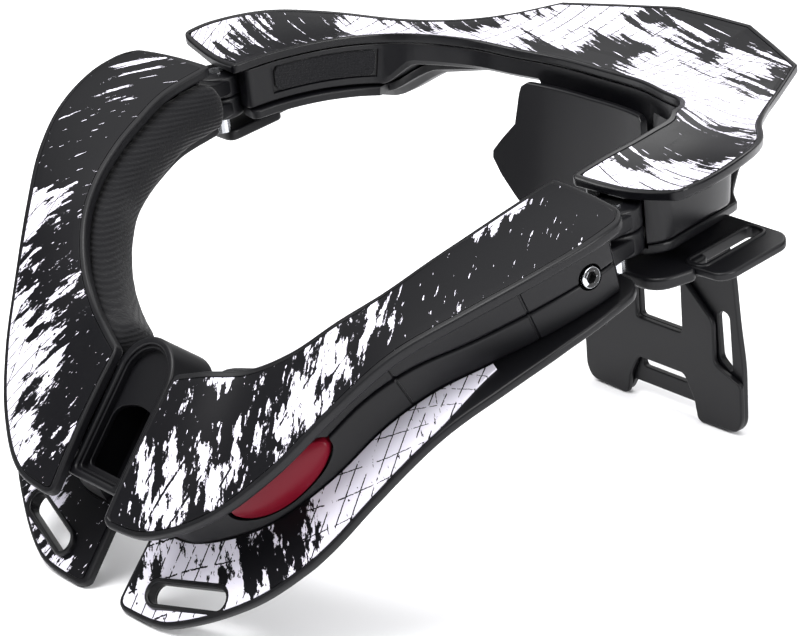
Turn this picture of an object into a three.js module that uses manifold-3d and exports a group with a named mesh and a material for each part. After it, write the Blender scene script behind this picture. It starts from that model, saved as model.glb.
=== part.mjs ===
// A motocross neck brace: a rigid collar in three parts that stands round the rider's neck.
// The rear part carries a wing shaped table, a back pad and a strut with two feet. Two front arms
// turn on hinge pins at its ends and meet at a push button latch under the chin.
// Millimetres, +Z up, the rider faces -Y and +X is the rider's left. The origin is under the middle.

import * as THREE from "three";
import { mergeVertices } from "three/addons/utils/BufferGeometryUtils.js";
import Module from "manifold-3d";

const wasm = await Module();
wasm.setup();

// Driving sizes of the whole brace
const HALF_WIDTH = 140; // middle plane to the outer rim of an arm
const REACH = 290; // strut feet to the front rim of the arms
const COLLAR_HEIGHT = 160; // feet to the top of the rear table
const GAP = 0.3; // clearance between pieces that meet
const CENTRE_FORWARD = 132.7; // from the feet forward to the middle of the length
const FLOOR = -1.71; // the floor in the tables' own heights, where the front plates rest

// Walls and layers
const PLATE = 3.2; // thickness of the moulded tables
const SHEET = 0.6; // thickness of the printed inlays
const PRINT_MARGIN = 3; // bare rim left round an inlay
const PRINT_SEAT = 0.35; // clearance under an inlay
const BODY_INSET = 6; // arm body's outer wall, in from the rim of the table
const UPPER_SHELL = 11.6; // height of the arm's upper half shell
const LOWER_SHELL = 11; // height of the arm's lower half shell
const TABLE_CROWN = 1.3; // how much the arm tables arch across
const WING_DISH = 2.6; // how much the rear table sags across
const PAD_PROUD = 6.6; // how far the neck pads stand inside the collar
const CORNER = 9; // plan radius of a table's outer rear corner
const TIP_CORNER = 5; // plan radius of its outer front corner
const INNER_CORNER = 3; // plan radius of its two inner corners
const REAR_CORNER = 4; // plan radius of the rear table's front corners
const FOOT_OVERRUN = 4.5; // how far the lower table passes the upper one at the closure
const ARM_TAIL = 9; // how far the arm's shells run behind its table, towards the hinge

// Hinges of the arms
const HINGE_OUTSIDE = 15.5; // hinge pin outside the inner rear corner of the arm's table
const HINGE_BEHIND = 15.7; // and behind that corner
const HINGE_LEAN = 8; // degrees, the pins lean forward with the collar
const KNUCKLE_RADIUS = 9.5;
const KNUCKLE_DROP = 24.4; // knuckle's underside below that corner
const KNUCKLE_HEIGHT = 17.6;
const PIN_RADIUS = 3.4;
const PIN_CLEARANCE = 0.5;
const KNUCKLE_CLEARANCE = 1.2;

// Strap slots
const FRONT_SLOT_LENGTH = 32;
const FRONT_SLOT_WIDTH = 8.4;
const REAR_SLOT_LENGTH = 30;
const REAR_SLOT_WIDTH = 6.5;
const SLOT_RIM = 3;
const THROUGH = 30; // length of a tool that passes right through a plate

// Latch
const BUTTON_HEIGHT = 15.5;
const BUTTON_CROWN = 2.4; // how far the button's middle bulges past the wall
const BUTTON_DEPTH = 4; // how far the button reaches into the wall
const BUTTON_TRAVEL = 2.5;
const BUTTON_CLEARANCE = 1.1; // room round the button in its pocket
const LATCH_DEPTH = 21.5;
const LATCH_ABOVE = 9.5; // how far its round head passes the inner edge of the tables
const LATCH_BELOW = 47; // how far it runs down the slope from that edge
const LATCH_RIM = 3;
const TONGUE_WIDTH = 12;
const TONGUE_THICKNESS = 5;
const TONGUE_LENGTH = 15;

// Bolt of the arm
const BOLT_RADIUS = 3.8;
const BOLT_SOCKET = 2.2;
const BOLT_DEPTH = 4.5;
const BOLT_PROUD = 0.6; // how far its ring stands out of the wall

// Strut and back pad
const STRUT_HALF = 44.5; // half of the strut's width
const STRUT_PLATE = 3;
const STRUT_LAYER = 2.6;
const STRUT_FACE = -0.5; // front face of the strut at the floor, ahead of the feet's zero line
const STRUT_LEAN = 6; // degrees, leaning forward towards the collar
const STRUT_DROP = 23.6; // top of the strut's outline below the rear table's inner edge
const APRON_HALF = 44; // half of the back pad's greatest width
const APRON_THICKNESS = 3.5;
const APRON_STANDOFF = 2.4; // back pad's rear face, in from the rear table's inner edge

// One row for each section of an arm, from its rear end to the closure at the front.
// inner and outer are the edges of the upper table: out from the middle plane as a share of
// HALF_WIDTH, forward of the feet as a share of REACH, up as a share of COLLAR_HEIGHT.
// foot is the lower table's outer edge, past the upper table's, as a share of HALF_WIDTH.
const ARM_SECTIONS = [
  { inner: [0.682, 0.537, 0.943], outer: [0.996, 0.561, 0.94], foot: -0.01 },
  { inner: [0.679, 0.614, 0.9], outer: [1.0, 0.621, 0.906], foot: -0.005 },
  { inner: [0.657, 0.662, 0.859], outer: [0.957, 0.69, 0.85], foot: 0.018 },
  { inner: [0.629, 0.707, 0.816], outer: [0.871, 0.755, 0.775], foot: 0.055 },
  { inner: [0.586, 0.755, 0.759], outer: [0.757, 0.814, 0.681], foot: 0.095 },
  { inner: [0.521, 0.797, 0.7], outer: [0.657, 0.866, 0.556], foot: 0.134 },
  { inner: [0.429, 0.831, 0.622], outer: [0.557, 0.917, 0.419], foot: 0.158 },
  { inner: [0.321, 0.855, 0.566], outer: [0.429, 0.962, 0.303], foot: 0.163 },
  { inner: [0.214, 0.876, 0.544], outer: [0.271, 0.995, 0.234], foot: 0.18 },
  { inner: [0.121, 0.89, 0.519], outer: [0.107, 1.0, 0.219], foot: 0.181 },
];

// One row for each section of the rear table, from the middle plane to its front end, with the
// same shares. corner marks the sharp corners of the wing.
const REAR_SECTIONS = [
  { inner: [0.0, 0.138, 0.929], outer: [0.0, -0.081, 1.0], corner: true },
  { inner: [0.16, 0.145, 0.933], outer: [0.139, -0.079, 1.0], corner: true },
  { inner: [0.3, 0.169, 0.939], outer: [0.3, -0.041, 0.991], corner: true },
  { inner: [0.4, 0.19, 0.948], outer: [0.457, -0.003, 0.981], corner: true },
  { inner: [0.471, 0.224, 0.959], outer: [0.536, 0.069, 0.958], corner: false },
  { inner: [0.521, 0.262, 0.968], outer: [0.607, 0.128, 0.95], corner: false },
  { inner: [0.564, 0.29, 0.968], outer: [0.7, 0.19, 0.954], corner: false },
  { inner: [0.602, 0.337, 0.968], outer: [0.857, 0.272, 0.973], corner: false },
  { inner: [0.631, 0.385, 0.963], outer: [0.946, 0.347, 0.983], corner: false },
  { inner: [0.654, 0.445, 0.953], outer: [0.99, 0.428, 0.971], corner: false },
  { inner: [0.671, 0.505, 0.935], outer: [0.985, 0.478, 0.956], corner: false },
];
const ARM_STEPS = 14;
const REAR_STEPS_PER_ROW = 2;

// Sizes that follow the tables' corners
const [REAR_CORNER_OUT, REAR_CORNER_FORWARD, REAR_CORNER_UP] = ARM_SECTIONS[0].inner;
const HINGE_OUT = REAR_CORNER_OUT * HALF_WIDTH + HINGE_OUTSIDE;
const HINGE_FORWARD = REAR_CORNER_FORWARD * REACH - HINGE_BEHIND;
const KNUCKLE_BOTTOM = REAR_CORNER_UP * COLLAR_HEIGHT - KNUCKLE_DROP;
const LATCH_WIDTH = 2 * ARM_SECTIONS.at(-1).outer[0] * HALF_WIDTH; // fills the gap between the arms
const STRUT_TOP = REAR_SECTIONS[0].inner[2] * COLLAR_HEIGHT - STRUT_DROP;

// A point given by its distance out to one side, forward of the feet and up.
function place(side, out, forward, up) {
  return new THREE.Vector3(side * out, CENTRE_FORWARD - forward, up - FLOOR);
}

function shared(side, [out, forward, up]) {
  return place(side, out * HALF_WIDTH, forward * REACH, up * COLLAR_HEIGHT);
}

// A section's own axes: across runs outwards over the table and rise stands square on it.
function frameFrom(inner, outer, ahead) {
  const across = outer.clone().sub(inner);
  const width = across.length();
  across.normalize();
  const along = ahead.clone().addScaledVector(across, -ahead.dot(across)).normalize();
  const rise = new THREE.Vector3().crossVectors(along, across);
  if (rise.z < 0) rise.negate();
  return { origin: inner, across, along, rise, width };
}

function pointIn(frame, w, n, t = 0) {
  return frame.origin
    .clone()
    .addScaledVector(frame.across, w)
    .addScaledVector(frame.rise, n)
    .addScaledVector(frame.along, t);
}

function armCurves(side) {
  const inner = new THREE.CatmullRomCurve3(ARM_SECTIONS.map((row) => shared(side, row.inner)));
  const outer = new THREE.CatmullRomCurve3(ARM_SECTIONS.map((row) => shared(side, row.outer)));
  return { inner, outer };
}

// The arm's frame at u, from 0 at its rear end to 1 at the closure.
function armFrame(side, u) {
  const { inner, outer } = armCurves(side);
  const low = Math.max(0, u - 0.04);
  const high = Math.min(1, u + 0.04);
  const ahead = inner.getPoint(high).add(outer.getPoint(high));
  ahead.sub(inner.getPoint(low)).sub(outer.getPoint(low));
  const frame = frameFrom(inner.getPoint(u), outer.getPoint(u), ahead);
  const row = u * (ARM_SECTIONS.length - 1);
  const first = Math.min(Math.floor(row), ARM_SECTIONS.length - 2);
  const foot = THREE.MathUtils.lerp(
    ARM_SECTIONS[first].foot,
    ARM_SECTIONS[first + 1].foot,
    row - first,
  );
  frame.footWidth = frame.width + foot * HALF_WIDTH;
  return frame;
}

// The same frame, moved on towards the closure where the lower table runs past the upper one.
function footFrame(side, u) {
  const frame = armFrame(side, u);
  const share = THREE.MathUtils.smoothstep(u, 0.8, 1);
  frame.origin.x -= side * share * FOOT_OVERRUN;
  return frame;
}

// The arm's length, measured half way across it.
function armLength() {
  const { inner, outer } = armCurves(1);
  return (inner.getLength() + outer.getLength()) / 2;
}

// How far the corners of a table draw its two edges in at u.
function tableInsets(u, margin = 0) {
  const rear = (u * ARM_LENGTH) - margin;
  const front = (1 - u) * ARM_LENGTH - margin;
  const inner = Math.max(INNER_CORNER - margin * 0.5, 1);
  return {
    inner: Math.max(cornerInset(rear, inner), cornerInset(front, inner)),
    outer: Math.max(cornerInset(rear, CORNER - margin), cornerInset(front, TIP_CORNER - margin * 0.5)),
  };
}

// How far a rounded corner draws an edge in, at a distance from the piece's end.
function cornerInset(distance, radius) {
  if (distance >= radius) return 0;
  const rest = radius - Math.max(distance, 0);
  return radius - Math.sqrt(radius * radius - rest * rest);
}

// Stations from u0 to u1: all pieces share the same ones, and add some in their own round corners.
function armStations(u0, u1, corner0 = 0, corner1 = 0) {
  const values = [u0, u1];
  for (const share of [0.03, 0.15, 0.4]) {
    if (corner0 > 0) values.push(u0 + share * corner0);
    if (corner1 > 0) values.push(u1 - share * corner1);
  }
  for (let step = 1; step < ARM_STEPS; step += 1) {
    const u = step / ARM_STEPS;
    if (u > u0 + 0.45 * corner0 + 0.004 && u < u1 - 0.45 * corner1 - 0.004) values.push(u);
  }
  return values.sort((a, b) => a - b);
}

// A closed plank section: flat edges with small chamfers, its faces arched by crown.
function plank(w0, w1, n0, n1, crown = 0, chamfer = 0.8) {
  const small = Math.min(chamfer, (n1 - n0) / 2.2, (w1 - w0) / 3);
  const arch = (w) => {
    const t = (w - w0) / Math.max(w1 - w0, 0.001);
    return crown * 4 * t * (1 - t);
  };
  const spots = (crown < 0 ? [0.3, 0.7] : [0.5]).map((t) => w0 + (w1 - w0) * t);
  const points = [new THREE.Vector2(w0, n0 + small), new THREE.Vector2(w0 + small, n0)];
  if (crown !== 0) for (const w of spots) points.push(new THREE.Vector2(w, n0 + arch(w)));
  points.push(new THREE.Vector2(w1 - small, n0), new THREE.Vector2(w1, n0 + small));
  points.push(new THREE.Vector2(w1, n1 - small), new THREE.Vector2(w1 - small, n1));
  if (crown !== 0) {
    for (const w of [...spots].reverse()) points.push(new THREE.Vector2(w, n1 + arch(w)));
  }
  points.push(new THREE.Vector2(w0 + small, n1), new THREE.Vector2(w0, n1 - small));
  return points;
}

// A thin inlay's section with square edges, arched like the plank under it.
function inlay(w0, w1, n0, crown = 0) {
  const spots = (crown < 0 ? [0.3, 0.7] : [0.5]).map((t) => [w0 + (w1 - w0) * t, crown * 4 * t * (1 - t)]);
  const under = spots.map(([w, arch]) => new THREE.Vector2(w, n0 + arch));
  const over = spots.map(([w, arch]) => new THREE.Vector2(w, n0 + SHEET + arch)).reverse();
  const end = (w, n) => new THREE.Vector2(w, n);
  return [end(w0, n0), ...under, end(w1, n0), end(w1, n0 + SHEET), ...over, end(w0, n0 + SHEET)];
}

// A closed body through sections of equal point counts, capped at both ends.
function loft(sections) {
  const count = sections[0].profile.length;
  const positions = [];
  for (const { frame, profile } of sections) {
    for (const point of profile) positions.push(...pointIn(frame, point.x, point.y).toArray());
  }
  const faces = [];
  for (let s = 0; s + 1 < sections.length; s += 1) {
    for (let i = 0; i < count; i += 1) {
      const next = (i + 1) % count;
      const a = s * count + i;
      const b = s * count + next;
      // Facing surfaces of two pieces split their quads the same way, so that they stay apart.
      const outwards = sections[s].profile[i].x <= sections[s].profile[next].x;
      if (outwards) faces.push([a, b, b + count], [a, b + count, a + count]);
      else faces.push([a, b, a + count], [b, b + count, a + count]);
    }
  }
  const last = (sections.length - 1) * count;
  for (const [a, b, c] of THREE.ShapeUtils.triangulateShape(sections[0].profile, [])) {
    faces.push([c, b, a]);
  }
  for (const [a, b, c] of THREE.ShapeUtils.triangulateShape(sections.at(-1).profile, [])) {
    faces.push([last + a, last + b, last + c]);
  }
  const geometry = new THREE.BufferGeometry();
  geometry.setAttribute("position", new THREE.Float32BufferAttribute(positions, 3));
  geometry.setIndex(faces.flat());
  return facingOut(geometry);
}

// Turns every face round where the body encloses a negative volume.
function facingOut(geometry) {
  const position = geometry.getAttribute("position");
  const index = geometry.getIndex();
  const corners = [new THREE.Vector3(), new THREE.Vector3(), new THREE.Vector3()];
  let volume = 0;
  for (let i = 0; i < index.count; i += 3) {
    corners.forEach((corner, k) => corner.fromBufferAttribute(position, index.getX(i + k)));
    volume += corners[0].dot(corners[1].clone().cross(corners[2])) / 6;
  }
  if (volume < 0) {
    for (let i = 0; i < index.count; i += 3) {
      const held = index.getX(i + 1);
      index.setX(i + 1, index.getX(i + 2));
      index.setX(i + 2, held);
    }
  }
  return geometry;
}

// Boolean cuts and joins
function solidOf(geometry) {
  const bare = geometry.clone();
  bare.deleteAttribute("normal");
  bare.deleteAttribute("uv");
  const merged = facingOut(mergeVertices(bare, 1e-4));
  const mesh = new wasm.Mesh({
    numProp: 3,
    vertProperties: new Float32Array(merged.getAttribute("position").array),
    triVerts: new Uint32Array(merged.getIndex().array),
  });
  return new wasm.Manifold(mesh);
}

function geometryOf(solid) {
  const mesh = solid.getMesh();
  const geometry = new THREE.BufferGeometry();
  geometry.setAttribute("position", new THREE.BufferAttribute(mesh.vertProperties, 3));
  geometry.setIndex(new THREE.BufferAttribute(mesh.triVerts, 1));
  return geometry;
}

function cut(geometry, ...tools) {
  return geometryOf(tools.reduce((left, tool) => left.subtract(solidOf(tool)), solidOf(geometry)));
}

function join(geometry, ...others) {
  return geometryOf(others.reduce((left, other) => left.add(solidOf(other)), solidOf(geometry)));
}

// A shape drawn in a frame's own plane, centred in its thickness, and moved there.
function standing(shape, thickness, origin, xAxis, yAxis, bevel = 0) {
  const geometry = new THREE.ExtrudeGeometry(shape, {
    depth: thickness - 2 * bevel,
    bevelEnabled: bevel > 0,
    bevelThickness: bevel,
    bevelSize: bevel,
    bevelOffset: -bevel,
    bevelSegments: 1,
    curveSegments: 6,
  });
  geometry.translate(0, 0, bevel - thickness / 2);
  const zAxis = new THREE.Vector3().crossVectors(xAxis, yAxis).normalize();
  const matrix = new THREE.Matrix4().makeBasis(xAxis, yAxis, zAxis).setPosition(origin);
  return mergeable(geometry.applyMatrix4(matrix));
}

function mergeable(geometry) {
  geometry.deleteAttribute("normal");
  geometry.deleteAttribute("uv");
  return facingOut(mergeVertices(geometry, 1e-4));
}

function stadium(length, width) {
  const radius = width / 2;
  const straight = length / 2 - radius;
  const shape = new THREE.Shape();
  shape.absarc(straight, 0, radius, -Math.PI / 2, Math.PI / 2, false);
  shape.absarc(-straight, 0, radius, Math.PI / 2, (3 * Math.PI) / 2, false);
  shape.closePath();
  return shape;
}

function outline(points) {
  return new THREE.Shape(points.map(([x, y]) => new THREE.Vector2(x, y)));
}

// Arm pieces
const ARM_LENGTH = armLength();
const CORNER_SHARE = CORNER / ARM_LENGTH;

function armTable(side) {
  const sections = armStations(0, 1, CORNER_SHARE, CORNER_SHARE).map((u) => {
    const frame = armFrame(side, u);
    const inset = tableInsets(u);
    return {
      frame,
      profile: plank(inset.inner, frame.width - inset.outer, -PLATE, 0, TABLE_CROWN),
    };
  });
  return loft(sections);
}

function armPrint(side) {
  const margin = PRINT_MARGIN / ARM_LENGTH;
  const radius = CORNER - PRINT_MARGIN;
  const round = radius / ARM_LENGTH;
  const sections = armStations(margin, 1 - margin, round, round).map((u) => {
    const frame = armFrame(side, u);
    const inset = tableInsets(u, PRINT_MARGIN);
    const near = PRINT_MARGIN + inset.inner;
    const far = frame.width - PRINT_MARGIN - inset.outer;
    return {
      frame,
      profile: inlay(near, far, PRINT_SEAT, TABLE_CROWN),
    };
  });
  return loft(sections);
}

const UPPER_TOP = -PLATE - GAP;
const PARTING = UPPER_TOP - UPPER_SHELL;
const LOWER_TOP = PARTING - GAP;
const LOWER_BOTTOM = LOWER_TOP - LOWER_SHELL;
const FOOT_TOP = LOWER_BOTTOM - GAP;
const FOOT_BOTTOM = FOOT_TOP - PLATE;
const BODY_START = 0.012;
const BODY_END = 0.985;
const TAIL_ENTRY = 0.024; // where the round tail runs into the shell
const TAIL_DRAW = 1.7; // how much lower than the knuckle the tail is, above and below
const KNUCKLE_HALF = (KNUCKLE_HEIGHT - GAP) / 2; // height of each shell's half of the knuckle
const WALL_SLOPE = 12; // how far the arm's wall leans in at its top along the front
const SHELL_CHAMFER = 1.2;

const HINGE_AXIS = new THREE.Vector3(
  0,
  -Math.sin(THREE.MathUtils.degToRad(HINGE_LEAN)),
  Math.cos(THREE.MathUtils.degToRad(HINGE_LEAN)),
);

function hingePoint(side, up) {
  const point = place(side, HINGE_OUT, HINGE_FORWARD, KNUCKLE_BOTTOM);
  return point.addScaledVector(HINGE_AXIS, up);
}

// A round post on the hinge axis, from one height above the knuckle's underside to another.
function hingePost(side, radius, low, high, segments = 16) {
  const post = new THREE.CylinderGeometry(radius, radius, high - low, segments);
  const turn = new THREE.Quaternion().setFromUnitVectors(new THREE.Vector3(0, 1, 0), HINGE_AXIS);
  post.applyQuaternion(turn);
  const middle = hingePoint(side, (low + high) / 2);
  return mergeable(post.translate(middle.x, middle.y, middle.z));
}

// How far the arm's outer wall leans in at its top: upright behind, sloping at the front.
function wallSlope(u) {
  return WALL_SLOPE * THREE.MathUtils.smoothstep(u, 0.3, 0.6);
}

// Where the arm's outer wall stands in a section, at the height n.
function wallAt(frame, u, n) {
  const share = (n - LOWER_BOTTOM) / (UPPER_TOP - LOWER_BOTTOM);
  return frame.width - BODY_INSET - wallSlope(u) * share;
}

// A shell's section between two heights, its outer side on the sloping wall.
function shellSection(frame, u, n0, n1) {
  const edge = SHELL_CHAMFER;
  return [
    [BODY_INSET, n0 + edge],
    [BODY_INSET + edge, n0],
    [wallAt(frame, u, n0) - edge, n0],
    [wallAt(frame, u, n0 + edge), n0 + edge],
    [wallAt(frame, u, n1 - edge), n1 - edge],
    [wallAt(frame, u, n1) - edge, n1],
    [BODY_INSET + edge, n1],
    [BODY_INSET, n1 - edge],
  ].map(([w, n]) => new THREE.Vector2(w, n));
}

// The shell's round tail: sections at the hinge, behind the arm and at the shell's start.
function shellTail(side, low, high, n0, n1) {
  const across = new THREE.Vector3(side, 0, 0);
  const along = new THREE.Vector3().crossVectors(across, HINGE_AXIS);
  const hinge = { origin: hingePoint(side, 0), across, along, rise: HINGE_AXIS };
  const entry = armFrame(side, TAIL_ENTRY);
  const back = entry.origin.y - hinge.origin.y + ARM_TAIL;
  const lean = Math.tan(THREE.MathUtils.degToRad(HINGE_LEAN));
  const behind = hinge.origin.clone().add(new THREE.Vector3(0, back, back * lean));
  const tail = { ...hinge, origin: behind };
  const half = KNUCKLE_RADIUS - 0.2;
  const near = entry.origin.x * side - HINGE_OUT + BODY_INSET - 3;
  const far = entry.width - BODY_INSET - 1;
  const bottom = low + TAIL_DRAW;
  const top = high - TAIL_DRAW;
  return loft([
    { frame: hinge, profile: plank(-half, half, bottom, top, 0, 0.5) },
    { frame: tail, profile: plank(near, near + far - 4, bottom, top, 0, 0.5) },
    { frame: entry, profile: plank(BODY_INSET, far, n0, n1, 0, 0.5) },
  ]);
}

function armShell(side, n0, n1, low, high) {
  const sections = armStations(BODY_START, BODY_END).map((u) => {
    const frame = armFrame(side, u);
    return { frame, profile: shellSection(frame, u, n0, n1) };
  });
  const tail = shellTail(side, low, high, n0 + 1, n1 - 1);
  const post = hingePost(side, KNUCKLE_RADIUS, low, high);
  const bore = hingePost(side, PIN_RADIUS + PIN_CLEARANCE, low - 5, high + 5);
  const shell = cut(join(loft(sections), tail, post), bore, boltPocket(side));
  return side > 0 ? cut(shell, buttonPocket()) : shell;
}

function armUpperShell(side) {
  return armShell(side, PARTING, UPPER_TOP, KNUCKLE_HALF + GAP, KNUCKLE_HEIGHT);
}

function armLowerShell(side) {
  return armShell(side, LOWER_BOTTOM, LOWER_TOP, 0, KNUCKLE_HALF);
}

const SLOT_U = 0.865;
const SLOT_FROM_EDGE = 11;

function frontSlot(side, grow, thickness) {
  const frame = footFrame(side, SLOT_U);
  const centre = pointIn(frame, frame.footWidth - SLOT_FROM_EDGE, (FOOT_TOP + FOOT_BOTTOM) / 2);
  const shape = stadium(FRONT_SLOT_LENGTH + 2 * grow, FRONT_SLOT_WIDTH + 2 * grow);
  return standing(shape, thickness, centre, frame.along, frame.across);
}

function armFoot(side) {
  const sections = armStations(0, 1, CORNER_SHARE, CORNER_SHARE).map((u) => {
    const frame = footFrame(side, u);
    const inset = tableInsets(u);
    return {
      frame,
      profile: plank(3 + inset.inner, frame.footWidth - inset.outer, FOOT_BOTTOM, FOOT_TOP),
    };
  });
  const rim = frontSlot(side, SLOT_RIM, PLATE + 2.2);
  return cut(join(loft(sections), rim), frontSlot(side, 0, THROUGH));
}

const FOOT_PRINT_START = 0.36;

function footPrint(side) {
  const margin = PRINT_MARGIN / ARM_LENGTH;
  const us = armStations(FOOT_PRINT_START, 1 - margin, 0, (CORNER - PRINT_MARGIN) / ARM_LENGTH);
  const sections = us.map((u) => {
    const frame = footFrame(side, u);
    const inset = PRINT_MARGIN + tableInsets(u, PRINT_MARGIN).outer;
    const near = frame.width - BODY_INSET + 1;
    const grown = THREE.MathUtils.smoothstep(u, FOOT_PRINT_START - 0.05, FOOT_PRINT_START + 0.12);
    const far = THREE.MathUtils.lerp(near + 1, frame.footWidth - inset, grown);
    return {
      frame,
      profile: inlay(near, far, FOOT_TOP + GAP),
    };
  });
  return cut(loft(sections), frontSlot(side, SLOT_RIM + GAP, THROUGH));
}

const PAD_START = 0.03;
const PAD_END = 0.93;
const PAD_BACK = BODY_INSET - 2 * GAP;
const PAD_ROUND = 8;

function armPad(side) {
  const us = armStations(PAD_START, PAD_END, PAD_ROUND / ARM_LENGTH, PAD_ROUND / ARM_LENGTH);
  const middle = (UPPER_TOP + LOWER_BOTTOM) / 2;
  const half = (UPPER_TOP - LOWER_BOTTOM) / 2 - 0.8;
  const sections = us.map((u) => {
    const frame = armFrame(side, u);
    const fromEnd = Math.min(u - PAD_START, PAD_END - u) * ARM_LENGTH;
    const shrink = cornerInset(fromEnd, PAD_ROUND);
    const tall = half - shrink * 0.6;
    const proud = -PAD_PROUD + shrink * 0.7;
    const profile = [
      [PAD_BACK, -tall],
      [PAD_BACK, tall],
      [proud + 3, tall],
      [proud + 1, tall - 1.5],
      [proud, tall * 0.45],
      [proud, -tall * 0.45],
      [proud + 1, -tall + 1.5],
      [proud + 3, -tall],
    ].map(([w, n]) => new THREE.Vector2(w, middle + n));
    return { frame, profile };
  });
  return loft(sections);
}

const BOLT_U = 0.115;

function boltCentre(side, w) {
  return pointIn(armFrame(side, BOLT_U), w, PARTING + 0.5);
}

function boltRing(side, radius, depth, outset) {
  const frame = armFrame(side, BOLT_U);
  const ring = new THREE.CylinderGeometry(radius, radius, depth, 18);
  const turn = new THREE.Quaternion().setFromUnitVectors(new THREE.Vector3(0, 1, 0), frame.across);
  ring.applyQuaternion(turn);
  const middle = boltCentre(side, frame.width - BODY_INSET + outset - depth / 2);
  return mergeable(ring.translate(middle.x, middle.y, middle.z));
}

function boltPocket(side) {
  return boltRing(side, BOLT_RADIUS + 2 * GAP, BOLT_DEPTH + GAP + 5, 5);
}

function armBolt(side) {
  const frame = armFrame(side, BOLT_U);
  const socket = new THREE.CylinderGeometry(BOLT_SOCKET, BOLT_SOCKET, BOLT_DEPTH, 6);
  const turn = new THREE.Quaternion().setFromUnitVectors(new THREE.Vector3(0, 1, 0), frame.across);
  socket.applyQuaternion(turn);
  const middle = boltCentre(side, frame.width - BODY_INSET + 1.5);
  socket.translate(middle.x, middle.y, middle.z);
  return cut(boltRing(side, BOLT_RADIUS, BOLT_DEPTH, BOLT_PROUD), mergeable(socket));
}

// The release button, a lens shaped cap let into the left arm's sloping outer wall
const BUTTON_START = 0.63;
const BUTTON_END = 0.8;
const BUTTON_MIDDLE = 11; // height of its middle line, up the wall
const BUTTON_STEPS = 10;

// A body that follows the wall between the button's ends, grown all round, from one depth to another.
function onWall(grow, deep, crown) {
  const extra = grow / ARM_LENGTH;
  const sections = [];
  for (let step = 0; step <= BUTTON_STEPS; step += 1) {
    const angle = (Math.PI * step) / BUTTON_STEPS;
    const share = (1 - Math.cos(angle)) / 2;
    const u = THREE.MathUtils.lerp(BUTTON_START - extra, BUTTON_END + extra, share);
    const frame = armFrame(1, u);
    const foot = new THREE.Vector2(wallAt(frame, u, LOWER_BOTTOM), LOWER_BOTTOM);
    const up = new THREE.Vector2(wallAt(frame, u, UPPER_TOP), UPPER_TOP).sub(foot).normalize();
    const out = new THREE.Vector2(up.y, -up.x);
    const half = Math.max((BUTTON_HEIGHT / 2 + grow) * Math.sin(angle), 0.6);
    const bulge = crown * Math.sin(angle);
    const profile = [
      [-half * 0.8, -deep],
      [-half, 0],
      [-half * 0.5, bulge * 0.8],
      [0, bulge],
      [half * 0.5, bulge * 0.8],
      [half, 0],
      [half * 0.8, -deep],
    ].map(([v, e]) => {
      const rise = foot.clone().addScaledVector(up, BUTTON_MIDDLE + v);
      return rise.addScaledVector(out, e);
    });
    sections.push({ frame, profile });
  }
  return loft(sections);
}

function releaseButton() {
  return onWall(0, BUTTON_DEPTH, BUTTON_CROWN);
}

function buttonPocket() {
  return onWall(BUTTON_CLEARANCE, BUTTON_DEPTH + BUTTON_TRAVEL + 1, BUTTON_CROWN + 4);
}

// The latch: a round headed housing on the right arm's end and a tongue on the left arm's
function closureFrame() {
  const left = armFrame(1, 1);
  const right = armFrame(-1, 1);
  const origin = left.origin.clone().add(right.origin).multiplyScalar(0.5);
  const across = left.across.clone().add(right.across).setX(0).normalize();
  const along = new THREE.Vector3(1, 0, 0);
  const rise = new THREE.Vector3().crossVectors(along, across);
  if (rise.z < 0) rise.negate();
  return { origin, across, along, rise };
}

const LATCH_SHIFT = -2.5; // middle of the housing, towards the right arm that carries it
const LATCH_TOP = UPPER_TOP - GAP;
const POCKET_START = 16;
const POCKET_END = 41;
const POCKET_FLOOR = 2;
const TONGUE_MIDDLE = 28;

function latchOutline(inset) {
  const half = LATCH_WIDTH / 2 - inset;
  const top = -LATCH_ABOVE + inset;
  const shape = new THREE.Shape();
  shape.moveTo(half, LATCH_BELOW - inset);
  shape.lineTo(-half, LATCH_BELOW - inset);
  shape.lineTo(-half, top + half);
  shape.absarc(0, top + half, half, Math.PI, 2 * Math.PI, false);
  shape.closePath();
  return shape;
}

function latchHousing() {
  const frame = closureFrame();
  const seat = (n) => pointIn(frame, 0, n, LATCH_SHIFT);
  const block = standing(
    latchOutline(0),
    LATCH_DEPTH,
    seat(LATCH_TOP - LATCH_DEPTH / 2),
    frame.along,
    frame.across,
    1,
  );
  const recess = standing(latchOutline(LATCH_RIM), 3, seat(LATCH_TOP), frame.along, frame.across);
  const half = LATCH_WIDTH / 2;
  const pocket = outline([
    [-half + 4, POCKET_START],
    [half + 4, POCKET_START],
    [half + 4, POCKET_END],
    [-half + 4, POCKET_END],
  ]);
  const deep = LATCH_DEPTH - POCKET_FLOOR;
  const hollow = standing(
    pocket,
    deep + 6,
    seat(LATCH_TOP - deep / 2 + 3),
    frame.along,
    frame.across,
  );
  return cut(block, recess, hollow);
}

function latchTongue() {
  const frame = closureFrame();
  const half = TONGUE_WIDTH / 2;
  const depth = LATCH_TOP - LATCH_DEPTH * 0.42;
  const start = pointIn(armFrame(1, BODY_END), TONGUE_MIDDLE, depth).x - 2 * GAP;
  const tip = start - TONGUE_LENGTH;
  const shape = outline([
    [tip + 2, TONGUE_MIDDLE - half],
    [start, TONGUE_MIDDLE - half],
    [start, TONGUE_MIDDLE + half],
    [tip + 2, TONGUE_MIDDLE + half],
    [tip, TONGUE_MIDDLE + half - 3],
    [tip, TONGUE_MIDDLE - half + 3],
  ]);
  const centre = pointIn(frame, 0, depth);
  return standing(shape, TONGUE_THICKNESS, centre, frame.along, frame.across, 0.6);
}

// Rear pieces, from the left front end round the back to the right front end
const REAR_ROWS = REAR_SECTIONS.length - 1;
const REAR_ROW_LENGTH = 15;
const REAR_STRAIGHT = 2.4; // rows from the middle in which the whole rows are close enough

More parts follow.
